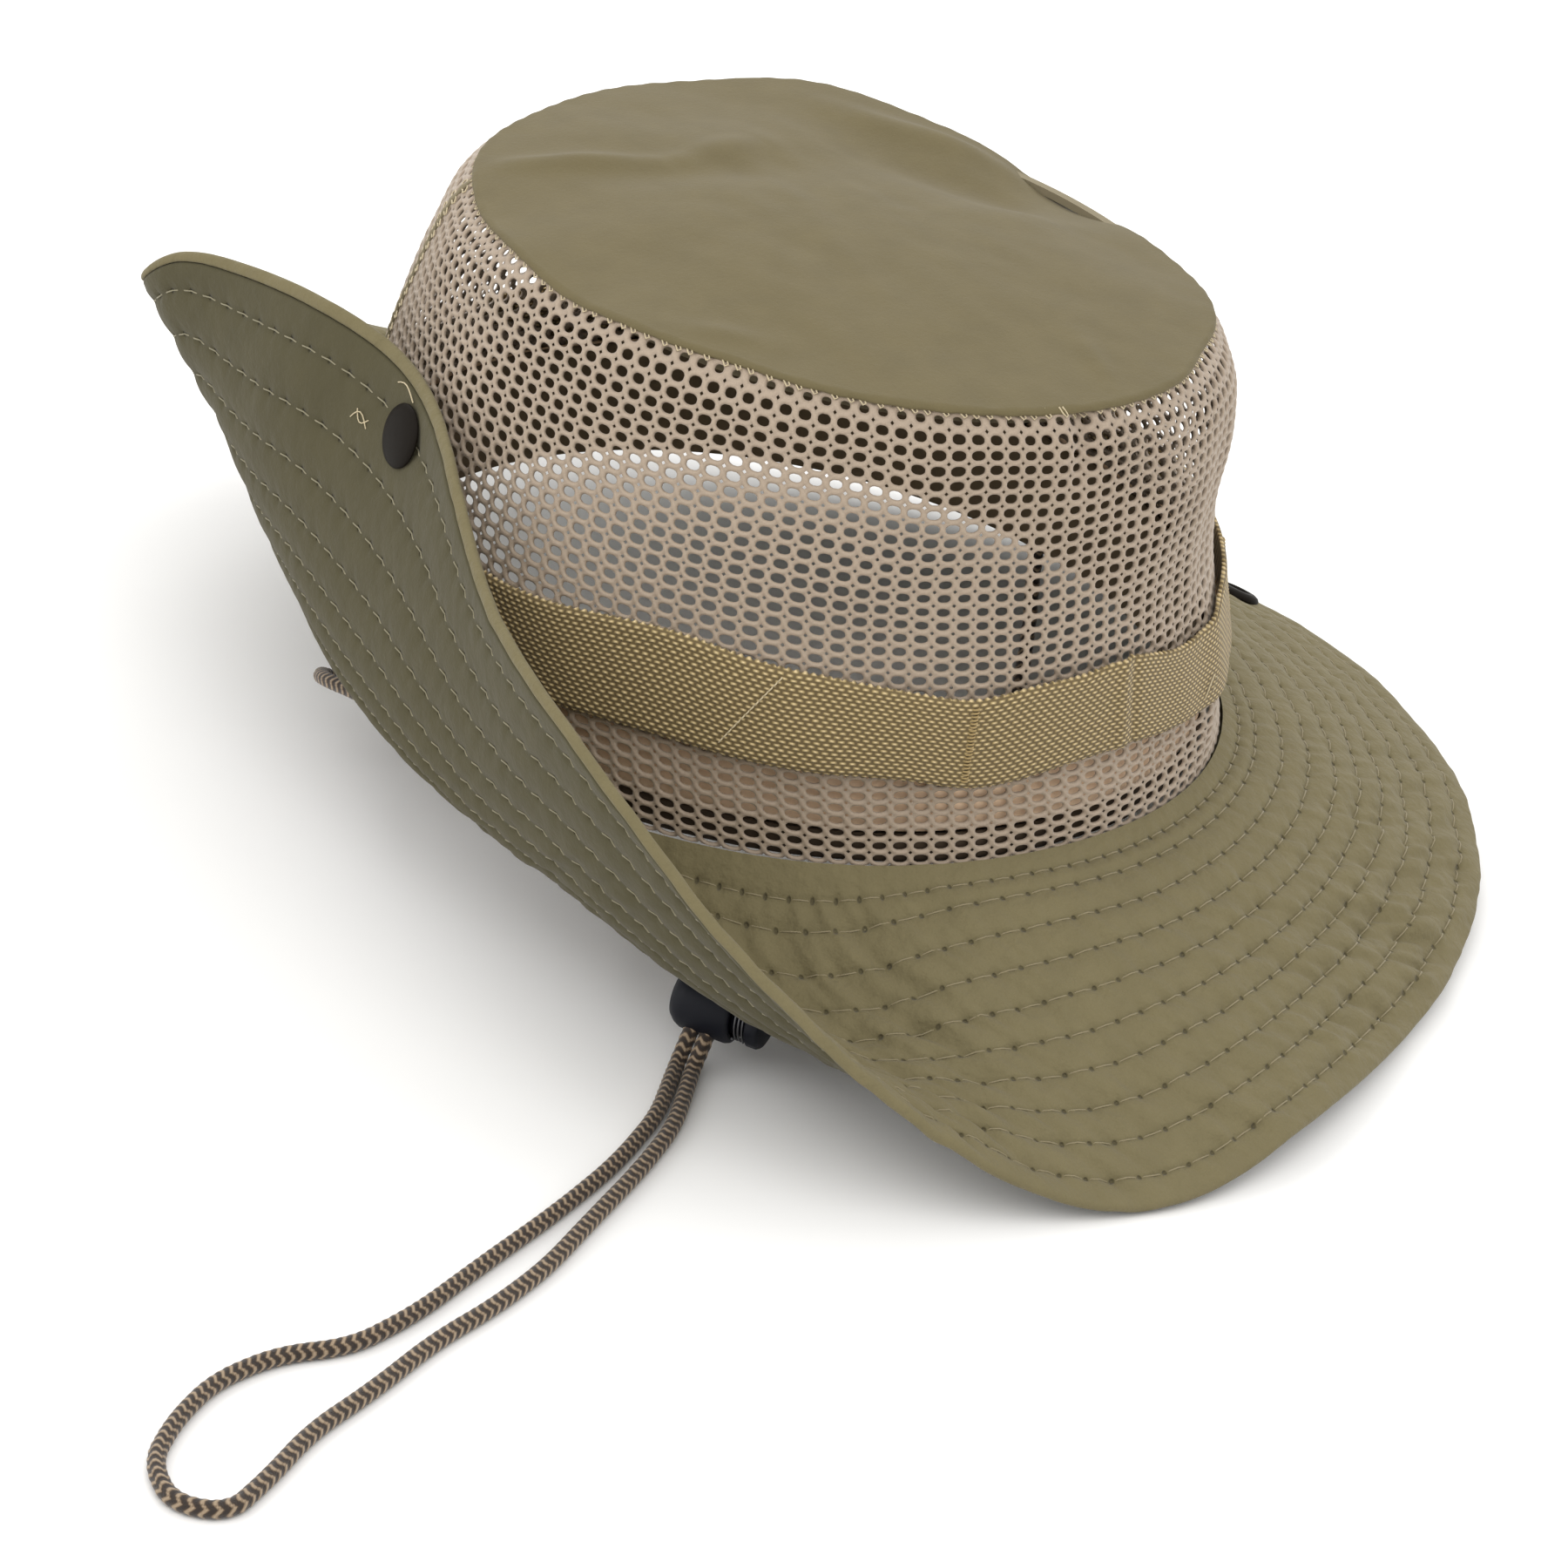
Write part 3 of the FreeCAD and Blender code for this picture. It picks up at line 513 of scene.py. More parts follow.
def mesh_material():
    colour = linear(160, 143, 124)
    s = Shade("mesh_yarn", colour, 0.55, **{"Sheen Weight": 0.2, "Specular IOR Level": 0.4})
    fibre = s.noise(3200.0)
    rim = s.value("rim")
    tint = varied(s, fibre, colour, 0.16)
    # Painted shade: the yarn is darkened towards the rim of each hole and round the small holes where
    # cells meet.
    tint = s.mix(s.times(rim, 0.45), tint, scaled(colour, 0.5))
    return s.done(Base_Color=tint, Normal=s.bump(fibre, 0.00015, 0.6))


mesh_yarn = mesh_material()


LOOP_LONG, LOOP_HIGH = 1.85, 0.9


def webbing_material():
    """Rows of raised loops, staggered by half a loop; along and up in millimetres."""
    s = Shade("webbing", linear(150, 130, 88), 0.75, **{"Sheen Weight": 0.12})
    fibre = s.noise(2600.0)
    drift = s.times(s.noise(300.0), 0.5)
    level = s.math("ADD", s.math("DIVIDE", s.value("up"), LOOP_HIGH), drift)
    odd = s.times(s.math("FLOORED_MODULO", s.math("FLOOR", level), 2.0), 0.5)
    step = s.math("ADD", s.math("DIVIDE", s.value("along"), LOOP_LONG), odd)
    across = s.times(s.math("PINGPONG", step, 0.5), 2.0)
    tall = s.times(s.math("PINGPONG", level, 0.5), 2.0)
    loop = s.times(s.smooth(across, 0.95, 0.1), s.smooth(tall, 0.85, 0.1))
    # Painted shade and highlight: the colour runs from dark in the gaps between loops to light on their
    # tops.
    tint = s.ramp(loop, [(0.0, linear(92, 76, 44)), (0.35, linear(168, 146, 96)),
                         (1.0, linear(228, 204, 154))])
    tint = s.mix(s.times(fibre, 0.3), tint, linear(120, 100, 62))
    height = s.math("ADD", loop, s.times(fibre, 0.25))
    return s.done(Base_Color=tint, Normal=s.bump(height, 0.0005, 0.8))


webbing = webbing_material()


def cord_material():
    s = Shade("cord_knit", linear(110, 92, 70), 0.8, **{"Sheen Weight": 0.2})
    loop = s.value("loop")
    fibre = s.noise(3000.0)
    # Painted shade and highlight: the knit is coloured dark in the hollows between stitches and light on
    # their tops.
    tint = s.ramp(loop, [(0.0, linear(26, 17, 10)), (0.5, linear(52, 38, 25)),
                         (0.72, linear(128, 108, 84)), (1.0, linear(168, 148, 122))])
    tint = s.mix(s.times(fibre, 0.3), tint, linear(52, 38, 26))
    return s.done(Base_Color=tint, Normal=s.bump(fibre, 0.0002, 0.6))


cord_knit = cord_material()


def plain(name, colour, roughness, grain=0.0, scale=700.0, **more):
    s = Shade(name, colour, roughness, **more)
    n = s.noise(scale, 3.0)
    tint = varied(s, n, colour, 0.1)
    return s.done(Base_Color=tint, Normal=s.bump(n, 0.0001, grain))


# Painted light: the sweatband's outer face, seen through the mesh, is coloured much lighter than its own
# pink-tan to make up for the shade it sits in.
sweat_outer = plain("sweat_outer", linear(246, 214, 180), 0.8, 0.4)
# Painted shade: the sweatband's inner face is a dark copy of its colour, for the shade inside the crown.
sweat_inner = plain("sweat_inner", linear(96, 80, 56), 0.85, 0.4)
# Painted shade: a dark colour for the band low inside the mesh that stands in for the shade at the
# crown's foot.
foot_shade_dark = plain("foot_shade_dark", linear(64, 50, 34), 0.85, 0.4)
tape_cloth = plain("tape_cloth", linear(128, 118, 94), 0.85, 0.4)
lock_plastic = plain("lock_plastic", linear(14, 16, 24), 0.5, 0.12, 500.0, **{"Specular IOR Level": 0.2})
spring_wire = plain("spring_wire", linear(96, 96, 98), 0.4, 0.0, Metallic=1.0)
snap_metal = plain("snap_metal", linear(20, 15, 9), 0.55, 0.15, 400.0,
                   **{"Specular IOR Level": 0.1})

# ---- brim

# Stitch rows as shares of the brim's width, and how far apart the stitches of each are.
ROWS = [0.060, 0.118, 0.215, 0.315, 0.415, 0.515, 0.61, 0.71, 0.81, 0.915]
ROW_PITCH = [4.6] + [PITCH] * 9
# Half the brim's thickness, and the radius of its rolled edge.
FACE, HEM = 0.95, 1.15
TURNS = np.linspace(-90, 270, 2881)
WIDTHS = np.linalg.norm(np.diff(brim_mid(TURNS[:, None], np.linspace(0, 1, 25)), axis=1), axis=-1)
WIDTHS = WIDTHS.sum(1)


def width(angle):
    return np.interp(angle, TURNS, WIDTHS)


ROW_PHASES = []
for share, spacing in zip(ROWS, ROW_PITCH):
    line = brim_mid(TURNS, share)
    run = np.append(0, np.cumsum(np.linalg.norm(np.diff(line, axis=0), axis=1)))
    ROW_PHASES.append(run / run[-1] * round(run[-1] / spacing))


def nearest_row(angle, q):
    """Distance to the nearest row of stitches, in millimetres, and how many stitches along it."""
    near = np.full(np.shape(q), 99.0)
    phase = np.zeros(np.shape(q))
    for share, phases in zip(ROWS, ROW_PHASES):
        away = np.abs(q - share) * width(angle)
        phase = np.where(away < near, np.interp(angle, TURNS, phases), phase)
        near = np.minimum(away, near)
    return near, phase


def creases(angle, q):
    """Fine puckers that lean outwards along the brim, about -1 to 1."""
    x = (angle + 90 - 26 * q) / 360
    return noise(x * 170, q * 7, 3, 170) + 0.6 * noise(x * 340, q * 12, 4, 340)


def crease_places(angle, q):
    """Where the brim is most puckered: front left, front corner and the raised flap's lower part."""
    front = around(angle, 298, 32) * clamp(1.7 * q - 0.3)
    corner = around(angle, 240, 11)
    flap = around(angle, 202, 18) * clamp(1.5 - 1.2 * q)
    return front, corner, flap


def relief(angle, q, near, phase, under):
    """How far one face of the quilted brim stands out from flat, in millimetres."""
    mark = np.abs(phase - np.round(phase)) * PITCH
    pinch = bell(mark, 1.2)
    depth = 0.40 if under else 0.36
    out = 0.42 * (1 - bell(near, 2.2)) - depth * bell(near, 0.8) * (0.5 + 0.9 * pinch)
    out -= 0.16 * pinch * bell(near, 2.4)
    front, corner, flap = crease_places(angle, q)
    amount = 0.12 + 0.22 * front + 0.16 * corner + (0.10 + 0.16 * flap if under else 0.0)
    return out + amount * creases(angle, q) * (0.45 + 0.55 * bell(near, 3.0))


def sway(angle, q):
    """How far both faces move together: slow waves of the brim and its puckers."""
    x = (angle + 90) / 360
    front, corner, flap = crease_places(angle, q)
    amount = 0.16 + 0.95 * front + 0.75 * corner + 0.55 * flap
    pucker = amount * creases(angle, q) * np.clip((1.02 - q) * 14, 0.35, 1)
    waves = 0.7 * noise(x * 26, q * 2.4, 8, 26) + 0.35 * noise(x * 60, q * 5, 9, 60)
    return q * waves + clamp(q * 6) * pucker


def brim_skin(angle, q, side, extra=0.0):
    """Point on one face of the brim; side is 1 above and -1 below."""
    near, phase = nearest_row(angle, q)
    wobble = 0.007 * noise((angle + 90) / 360 * 26, 0.5, 5, 26)
    s = q + wobble * 4 * q * (1 - q)
    lift = side * (FACE + relief(angle, q, near, phase, side < 0) + extra) + sway(angle, q)
    return brim_mid(angle, s) + brim_normal(angle, s) * lift[..., None], near, phase


def row_columns():
    """Shares of the brim's width where the grid has a line: dense at each row of stitches."""
    lines = [0.0, 0.02, 0.04]
    for share, following in zip(ROWS, ROWS[1:] + [1.0]):
        lines += [share - 0.011, share - 0.005, share, share + 0.005, share + 0.011]
        room = following - share - 0.022
        count = max(1, round(room / 0.0125))
        lines += [share + 0.011 + room * (k + 1) / (count + 1) for k in range(count)]
    return np.array([q for q in lines if q < 0.955])


def edge_columns(angle, insets, heights):
    """Points near the outer edge, from insets and heights off the middle surface in millimetres."""
    w = width(angle)[:, None]
    s = 1 - np.array(insets)[None] / w
    a = angle[:, None] + 0 * s
    lift = np.array(heights)[None] + sway(a, s)
    return brim_mid(a, s) + brim_normal(a, s) * lift[..., None]


COLUMNS = row_columns()
HEM_TURN = np.radians([80, 58, 36, 14, -8, -30, -52, -72, -90])


def brim_face(name, first, last, side, material):
    """One face of half the brim; the upper one carries the rolled edge."""
    angle = np.linspace(first, last, 640)
    a, q = np.broadcast_arrays(angle[:, None], COLUMNS[None])
    points, near, phase = brim_skin(a, q, side)
    if side > 0:
        insets = [2.9, 2.0, 1.45] + list(HEM * (1 - np.cos(HEM_TURN))) + [1.4, 1.58, 1.66]
        heights = [1.27, 1.24, 1.19] + list(HEM * np.sin(HEM_TURN)) + [-1.05, -0.8, -0.35]
    else:
        insets, heights = [2.9, 2.3, 1.95, 1.76, 1.7], [-1.24, -1.2, -1.1, -0.8, -0.35]
    points = np.concatenate([points, edge_columns(angle, insets, heights)], 1)
    extra = points.shape[1] - near.shape[1]
    near = np.pad(near, ((0, 0), (0, extra)), constant_values=4.0)
    phase = np.pad(phase, ((0, 0), (0, extra)))
    quads = grid_quads(*points.shape[:2])
    if side > 0:
        quads = quads[:, ::-1]
    return build(name, points, quads, material, values={"row": near, "phase": phase})


def stitches(name, first, last, side, material):
    """Threads of every row on one face, one short tube per stitch."""
    runs = []
    u = np.array([0.07, 0.2, 0.5, 0.8, 0.93])
    rise = np.array([-0.30, 0.06, 0.12, 0.06, -0.30])
    for share, phases in zip(ROWS, ROW_PHASES):
        low, high = np.interp([first, last], TURNS, phases)
        count = int(math.floor(high) - math.ceil(low))
        at = math.ceil(low) + np.arange(count)[:, None] + u + (0.0 if side > 0 else 0.5)
        angle = np.interp(at, phases, TURNS)
        runs.append(brim_skin(angle, share + 0 * angle, side, rise)[0])
    return threads(name, np.concatenate(runs), [0.05, 0.16, 0.17, 0.16, 0.05], material, None)


FOLD_DIRECTION = np.array([-0.894, 0, 0.447])
RIGHT_BEND = (FOLD_DIRECTION * 82 * MM, FOLD_DIRECTION * 100 * MM)
LEFT_BEND = (np.array([92, 0, 0]) * MM, np.array([112, 0, 0]) * MM)
for part, first, last, bend in (("right", 90, 270, RIGHT_BEND), ("left", -90, 90, LEFT_BEND)):
    flap = part + "_flap"
    top = brim_face("brim_top_" + part, first, last, 1, brim_cloth)
    under = brim_face("brim_under_" + part, first, last, -1, under_cloth_painted_shade)
    thread_top = stitches("stitches_top_" + part, first, last, 1, thread_light)
    thread_low = stitches("stitches_under_" + part, first, last, -1, thread_under)
    for obj in (top, under, thread_top, thread_low):
        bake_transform(obj)
    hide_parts("brim_upper_front", "brim_upper_rear", "brim_core_front", "brim_core_rear",
                flap + "_upper", flap + "_core")
    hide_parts("brim_lower_front", "brim_lower_rear", flap + "_lower")

# ---- crown wall

SEAMS = (40.0, 140.0)
MESH_LOW, MESH_HIGH, MESH_ROWS = 0.5, 91.6, 33
CORNER_U, CORNER_V = 0.10, 0.13
cell_edge = [(CORNER_U, 0), (1 / 3, 0), (2 / 3, 0), (1 - CORNER_U, 0)]
cell_side = [(1, CORNER_V), (1, 1 / 3), (1, 2 / 3), (1, 1 - CORNER_V)]
CELL = np.array(cell_edge + cell_side + [(1 - u, 1 - v) for u, v in cell_edge]
                + [(1 - u, 1 - v) for u, v in cell_side])
HOLE_U, HOLE_V = 0.352, 0.318
# Rings from a cell's edge into its hole: share of the way, size of the hole, lift, painted shade.
RIM_LAYERS = ((0.5, 1.0, -0.02, 0.0), (1.0, 1.0, -0.32, 0.3), (1.0, 1.04, -0.75, 1.0))


def mesh_waves(angle, z):
    """Slow ripples of the soft wall, still at its seams."""
    still = clamp(np.minimum(z, 93 - z) / 12)
    x = (angle % 360) / 360
    softer = 1 + 0.8 * around(angle, 300, 28)
    return still * softer * (0.9 * noise(x * 24, z / 26, 21, 24) + 0.35 * noise(x * 60, z / 12, 22, 60))


def wall_skin(angle, z, lift):
    """The sagging wall with its ripples and the sharp fold at the front, lift millimetres outside."""
    dart = -1.6 * around(angle, 263, 1.6) * clamp((z - 76) / 10)
    dart = dart + 0.8 * around(angle, 259, 2.4) * clamp((z - 70) / 14)
    return sag(wall(angle, z) + wall_normal(angle, z) * (mesh_waves(angle, z) + dart + lift)[..., None])


def lattice(name, first, last, seams, columns):
    """Knitted mesh between two angles: rings of faces round each hole, open at holes and corners."""
    col, row = np.meshgrid(np.arange(columns), np.arange(MESH_ROWS), indexing="ij")
    col, row = col.reshape(-1, 1), row.reshape(-1, 1)
    edge_u, edge_v = col + CELL[:, 0], row + CELL[:, 1]
    keys = np.round(np.stack([edge_u, edge_v], -1).reshape(-1, 2) * 60).astype(np.int64)
    keys = keys[:, 0] * 100000 + keys[:, 1]
    codes, index, back = np.unique(keys, return_index=True, return_inverse=True)
    pinch = first + (col + 0.5) * (last - first) / columns
    away = np.minimum(np.abs(pinch - seams[0]), np.abs(pinch - seams[1]))
    tight = 1 - 0.45 * bell(away, 2.6) - 0.22 * (row >= MESH_ROWS - 1)
    swell = 1 + 0.10 * noise(col * 0.37, row * 0.41, 31)
    theta = np.arctan2(CELL[:, 1] - 0.5, CELL[:, 0] - 0.5)
    layers_u, layers_v, lifts = [edge_u.reshape(-1)[index]], [edge_v.reshape(-1)[index]], []
    fu, fv = layers_u[0] % 1, layers_v[0] % 1
    at_corner = np.minimum(fu, 1 - fu) <= CORNER_U + 0.01
    at_corner &= np.minimum(fv, 1 - fv) <= CORNER_V + 0.01
    lifts.append(np.where(at_corner, -0.28, 0.06))
    # Painted shade, carried by the rim value: dark round the small holes at the cell corners and towards
    # each hole's rim.
    hole_shades = [np.where(at_corner, 0.7, 0.0)]
    hole_u = col + 0.5 + HOLE_U * tight * swell * np.cos(theta)
    hole_v = row + 0.5 + HOLE_V * tight * swell * np.sin(theta)
    for share, grow, lift, rim in RIM_LAYERS:
        hu = col + 0.5 + (hole_u - col - 0.5) * grow
        hv = row + 0.5 + (hole_v - row - 0.5) * grow
        layers_u.append((edge_u + (hu - edge_u) * share).reshape(-1))
        layers_v.append((edge_v + (hv - edge_v) * share).reshape(-1))
        lifts.append(np.full(edge_u.size, lift))
        hole_shades.append(np.full(edge_u.size, rim))
    u, v = np.concatenate(layers_u), np.concatenate(layers_v)
    z = MESH_LOW + v / MESH_ROWS * (MESH_HIGH - MESH_LOW)
    angle = first + u / columns * (last - first)
    inside = clamp(np.minimum(angle - seams[0], seams[1] - angle) / 30)
    z = z + 0.5 * inside * clamp(np.minimum(z, 91 - z) / 8) * noise(angle / 9, z / 16, 33)
    angle = angle - inside * 0.10 * (z - 46) + 0.35 * inside * noise(angle / 11, z / 14, 34)
    points = wall_skin(angle, z, np.concatenate(lifts))
    shared, cells, sides = len(codes), len(col), len(CELL)
    back = back.reshape(cells, sides)
    inner = [shared + np.arange(cells * sides).reshape(cells, sides) + k * cells * sides
             for k in range(3)]
    quads = []
    for a, b in zip([back] + inner[:2], inner):
        quads.append(np.stack([a, np.roll(a, -1, 1), np.roll(b, -1, 1), b], -1).reshape(-1, 4))
    values = {"rim": np.concatenate(hole_shades)}
    obj = build(name, points, np.concatenate(quads), mesh_yarn, "crown", values)
    return obj


for name, first, last, seams, columns, node, area in (
        ("crown_mesh_right", 140.1, 270.0, (140.1, 399.9), 48, "mesh_panel_front", 0.0176),
        ("crown_mesh_left", 270.0, 399.9, (140.1, 399.9), 48, "mesh_panel_front", 0.0176),
        ("crown_mesh_rear", 40.1, 139.9, (40.1, 139.9), 37, "mesh_panel_rear", 0.0128)):
    panel = lattice(name, first, last, seams, columns)
    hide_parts(node)


for side, angle in zip(("left", "right"), SEAMS):
    z, spread = np.meshgrid(np.linspace(2, 91, 70), [-2.8, -2.4, 0, 2.4, 2.8], indexing="ij")
    front, back = (wall_skin(angle + spread, z, depth + 0 * z) for depth in (-1.5, -2.1))
    tape = skin(side + "_inner_tape", np.concatenate([front, back[:, ::-1]], 1), tape_cloth)
    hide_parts(side + "_seam_tape")
    z = np.linspace(1, 91.5, 120)
    path = wall_skin(angle + 0.25 * noise(z / 7, 0, 41), z, 0.12 + 0 * z)
    points, quads = tubes(path[None], 8, 0.6 + 0.18 * np.cos(z * 2.4), wall_normal(angle, z)[None])
    build(side + "_seam_ridge", points, quads, tape_cloth, "crown")

# Thread loops that oversew the side seams and the seam under the crown's top.
loops = []
for angle in SEAMS:
    for z in np.arange(3, 90, 2.6):
        for way in (-1, 1):
            spread = way * np.array([0.2, 0.9, 1.6, 1.9, 1.4, 0.5])
            height = z + np.array([0, 0.3, 0.1, 0.7, 1.2, 1.1])
            loops.append(wall_skin(angle + spread, height, np.array([0.3, 0.45, 0.35, 0.3, 0.4, 0.2])))
for angle in np.arange(0, 360, 2.35):
    jitter = 0.4 * math.sin(angle * 7.3)
    spread = angle + jitter + np.array([0, 0.5, 1.1, 1.5, 1.1, 0.6])
    height = 91.9 + np.array([0.3, -0.6, -1.3, -1.0, -0.4, 0.3])
    loops.append(wall_skin(spread, height, np.array([0.5, 0.5, 0.4, 0.45, 0.55, 0.5])))
threads("seam_loops", loops, 0.17, thread_loop)

# ---- crown top


def soft_line(x, y, start, end, spread):
    """1 on the line from start to end, fading over the spread on each side and past its ends."""
    (x0, y0), (x1, y1) = start, end
    length = (x1 - x0) ** 2 + (y1 - y0) ** 2
    t = clamp(((x - x0) * (x1 - x0) + (y - y0) * (y1 - y0)) / length)
    away = np.hypot(x - x0 - t * (x1 - x0), y - y0 - t * (y1 - y0))
    return bell(away, spread) * (0.25 + 0.75 * np.sin(np.pi * np.clip(t, 0.05, 0.95)))


# Folds of the soft top: height, both ends, spread, and whether it fades out at the edge.
TIP_FOLDS = [
    (1.7, (-0.74, 0.66), (-0.20, 0.43), 0.05, True), (1.5, (-0.25, 0.43), (0.14, 0.45), 0.06, False),
    (-1.5, (-0.60, 0.44), (0.15, 0.28), 0.12, False), (2.4, (0.55, 0.60), (0.86, 0.22), 0.07, True),
    (-2.4, (0.45, 0.35), (0.76, -0.08), 0.12, True), (0.9, (0.15, -0.72), (0.04, -0.94), 0.035, True),
    (1.0, (-0.90, -0.30), (-0.72, -0.48), 0.05, True)]


def tip_height(x, y):
    """Height of the crown's top; x and y are shares of its half width and half length."""
    r = np.minimum(np.hypot(x, y), 1.0)
    inside = clamp(1 - r * r)
    dent = 2.4 * np.exp(-((x - 0.45) ** 2 + (y - 0.35) ** 2) / 0.09) * np.minimum(1.0, 3 * inside)
    z = TIP_HEIGHT + TIP_RISE * inside ** 1.2 - dent
    ridge = (x + 0.18) * 0.94 - (y + 0.15) * 0.34
    along = (x + 0.18) * 0.34 + (y + 0.15) * 0.94
    z = z + 0.5 * bell(ridge, 0.05) * bell(along, 0.55) * inside
    rim = np.minimum(1, 5 * inside)
    for height, start, end, spread, fades in TIP_FOLDS:
        z = z + height * soft_line(x, y, start, end, spread) * (rim if fades else 1)
    z = z + inside ** 0.5 * (0.8 * noise(x * 4, y * 4, 51) + 0.2 * noise(x * 13, y * 9, 52))
    gathers = noise(np.arctan2(y, x) / (2 * np.pi) * 90 + 90, r * 3, 53, 90)
    return z + 0.12 * gathers * bell(r - 0.97, 0.07)


def make_tip():
    rings, around_count = ((62, 480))
    radii = np.concatenate([np.linspace(0.0, 0.93, rings), np.linspace(0.94, 0.992, 12)])
    turn = np.radians(np.linspace(0, 360, around_count, endpoint=False))
    x, y = radii[:, None] * np.cos(turn), radii[:, None] * np.sin(turn)
    z = tip_height(x, y)
    # The edge rolls over and under the top row of the mesh.
    roll = np.array([(1.000, -0.15), (1.0045, -0.45), (1.0062, -0.85), (1.0045, -1.25),
                     (1.000, -1.45), (0.985, -1.5)])
    edge = roll[:, 0:1]
    x, y = np.concatenate([x, edge * np.cos(turn)]), np.concatenate([y, edge * np.sin(turn)])
    z = np.concatenate([z, TIP_HEIGHT + roll[:, 1:2] + 0.1 * np.sin(turn * 70)])
    points = np.stack([TIP_CENTRE[0] + TIP_HALF[0] * x, TIP_CENTRE[1] + TIP_HALF[1] * y, z], -1)
    points = sag(points, np.full(z.shape, TIP_HEIGHT))
    obj = skin("crown_top", points, tip_cloth_painted_shade)
    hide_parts("crown_tip")


make_tip()

# ---- webbing round the crown

WEB_BASE, WEB_WIDTH, WEB_THICK = 20.2, 20.0, 1.3
LIFT_ANGLE, LIFT_SPREAD, WEB_STANDOFF, WEB_LIFT = -10.0, 16.0, 0.9, 1.9
# How far the webbing strays from level: angle; rise of its upper edge, of its lower edge.
WEB_DRIFT = SmoothRow([
    (90, 0, 0), (140, 0.2, 0), (175, -0.4, 0.2), (190, -0.6, 0.4), (200, 0.7, 1.0), (213, 3.2, 1.8),
    (226, 1.6, 1.4), (236, 0.3, 0.9), (246, -1.5, 0.2), (252, -2.4, -1.3), (260, -0.6, -0.6),
    (268, 0.2, 1.0), (277, 1.0, 1.3), (285, -1.5, 0.4), (293, -3.0, -0.6), (305, -1.6, -0.4),
    (330, 0.5, 0.2), (380, 0, 0)], 360.0)


def web_skin(angle, v, out):
    """Point out millimetres from the webbing's inner face; v runs from its lower to its upper edge."""
    drift = WEB_DRIFT.at(angle)
    z = WEB_BASE + v * WEB_WIDTH + drift[..., 1] * (1 - v) + drift[..., 0] * v
    lift = WEB_LIFT * around(angle, LIFT_ANGLE, LIFT_SPREAD)
    ease = 0.5 * np.abs(noise((angle % 360) / 360 * 16, 0.3, 61, 16))
    crease = -0.5 * around(angle, 277.3, 0.9) + 0.6 * around(angle, 275.2, 1.3)
    stand = WEB_STANDOFF + lift + ease + crease
    return wall(angle, z, stand + out + np.maximum(0, mesh_waves(angle, z)))


def make_webbing():
    """The band with its values along and up; its two ends meet at the back."""
    angle = np.linspace(90.15, 449.85, 1300)
    mid = web_skin(angle, 0.5 + 0 * angle, 0.0)
    run = np.append(0, np.cumsum(np.linalg.norm(np.diff(mid, axis=0), axis=1)))
    v = np.linspace(0, 1, 29)
    scallop = 0.012 * np.cos(2 * np.pi * run / 1.6)
    a = angle[:, None] + 0 * v
    up = v[None] + np.where(v == 0, -1, np.where(v == 1, 1, 0))[None] * scallop[:, None]
    edge = np.minimum(v, 1 - v)[None] * WEB_WIDTH
    puff = WEB_THICK * (1 - 0.35 * bell(edge, 0.5)) + 0 * a
    front = web_skin(a, up, puff)
    inner = web_skin(a, up, 0.2 + 0 * a)
    points = np.concatenate([front, inner[:, ::-1]], 1)
    run = np.broadcast_to(run[:, None], a.shape)
    high = up * WEB_WIDTH
    values = {"along": np.concatenate([run, run], 1), "up": np.concatenate([high, high[:, ::-1]], 1)}
    obj = skin("hat_band_webbing", points, webbing, "crown", values)
    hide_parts("hat_band")
    return obj


web = make_webbing()

# Bars of close stitches across the webbing, then one slanting row and a loose end.
tack_runs = []
for angle in (252.0, 322.0, 60.0, 160.0):
    for k in range(22):
        v = 0.09 + 0.82 * k / 21
        across = angle + np.array([-0.42, -0.3, 0.0, 0.3, 0.42])
        tack_runs.append(web_skin(across, v + 0.012 * np.array([0, 0.3, 0.5, 0.7, 1]),
                                  WEB_THICK + np.array([-0.2, 0.25, 0.34, 0.25, -0.2])))
tacks = threads("webbing_tacks", tack_runs, 0.22, yarn("tack_thread", linear(158, 135, 88)))
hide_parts("band_tacks")

slant_runs = []
for k in range(14):
    at = (k + np.array([0.0, 0.15, 0.5, 0.85, 1.0]) * 0.92) / 14
    slant_runs.append(web_skin(227.5 - 6 * at, 0.92 - 0.80 * at,
                               WEB_THICK + np.array([-0.1, 0.2, 0.27, 0.2, -0.1])))
loose = web_skin(np.array([294.6, 295.4, 296.3, 297.2, 296.4]), np.array([0.16, 0.3, 0.42, 0.36, 0.2]),
                 WEB_THICK + np.array([0.0, 0.4, 0.7, 0.7, 0.3]))
slant = threads("webbing_stitches", slant_runs + [loose], 0.16, thread_loop)

# ---- sweatband, and a band of painted shade at its foot

SWEAT_SHIFT, SWEAT_LONG, SWEAT_WIDE, SWEAT_BASE, SWEAT_HIGH = -1.4, 93.6, 83.6, 1.2, 26.0


def oval_band(name, z, inset, material, thickness, facing_out=0.0):
    """Ring inside the crown: heights, insets from the sweatband's oval, bulge outwards."""
    turn = np.radians(np.linspace(0, 360, 480, endpoint=False))
    inset = inset[:, None]
    ripple = 0.25 * np.sin(turn * 23) * (z[:, None] / 30)
    rows = []
    for extra in (0.0, thickness):
        depth = inset + extra + ripple
        depth = depth - facing_out * (1.0 + 2.2 * np.abs(np.cos(turn)))
        rows.append(np.stack([SWEAT_SHIFT + (SWEAT_WIDE - depth) * np.cos(turn),
                              (SWEAT_LONG - depth) * np.sin(turn), z[:, None] + 0 * depth], -1))
    points = np.concatenate([rows[0], rows[1][::-1]])
    return skin(name, points, material, close_rows=True)


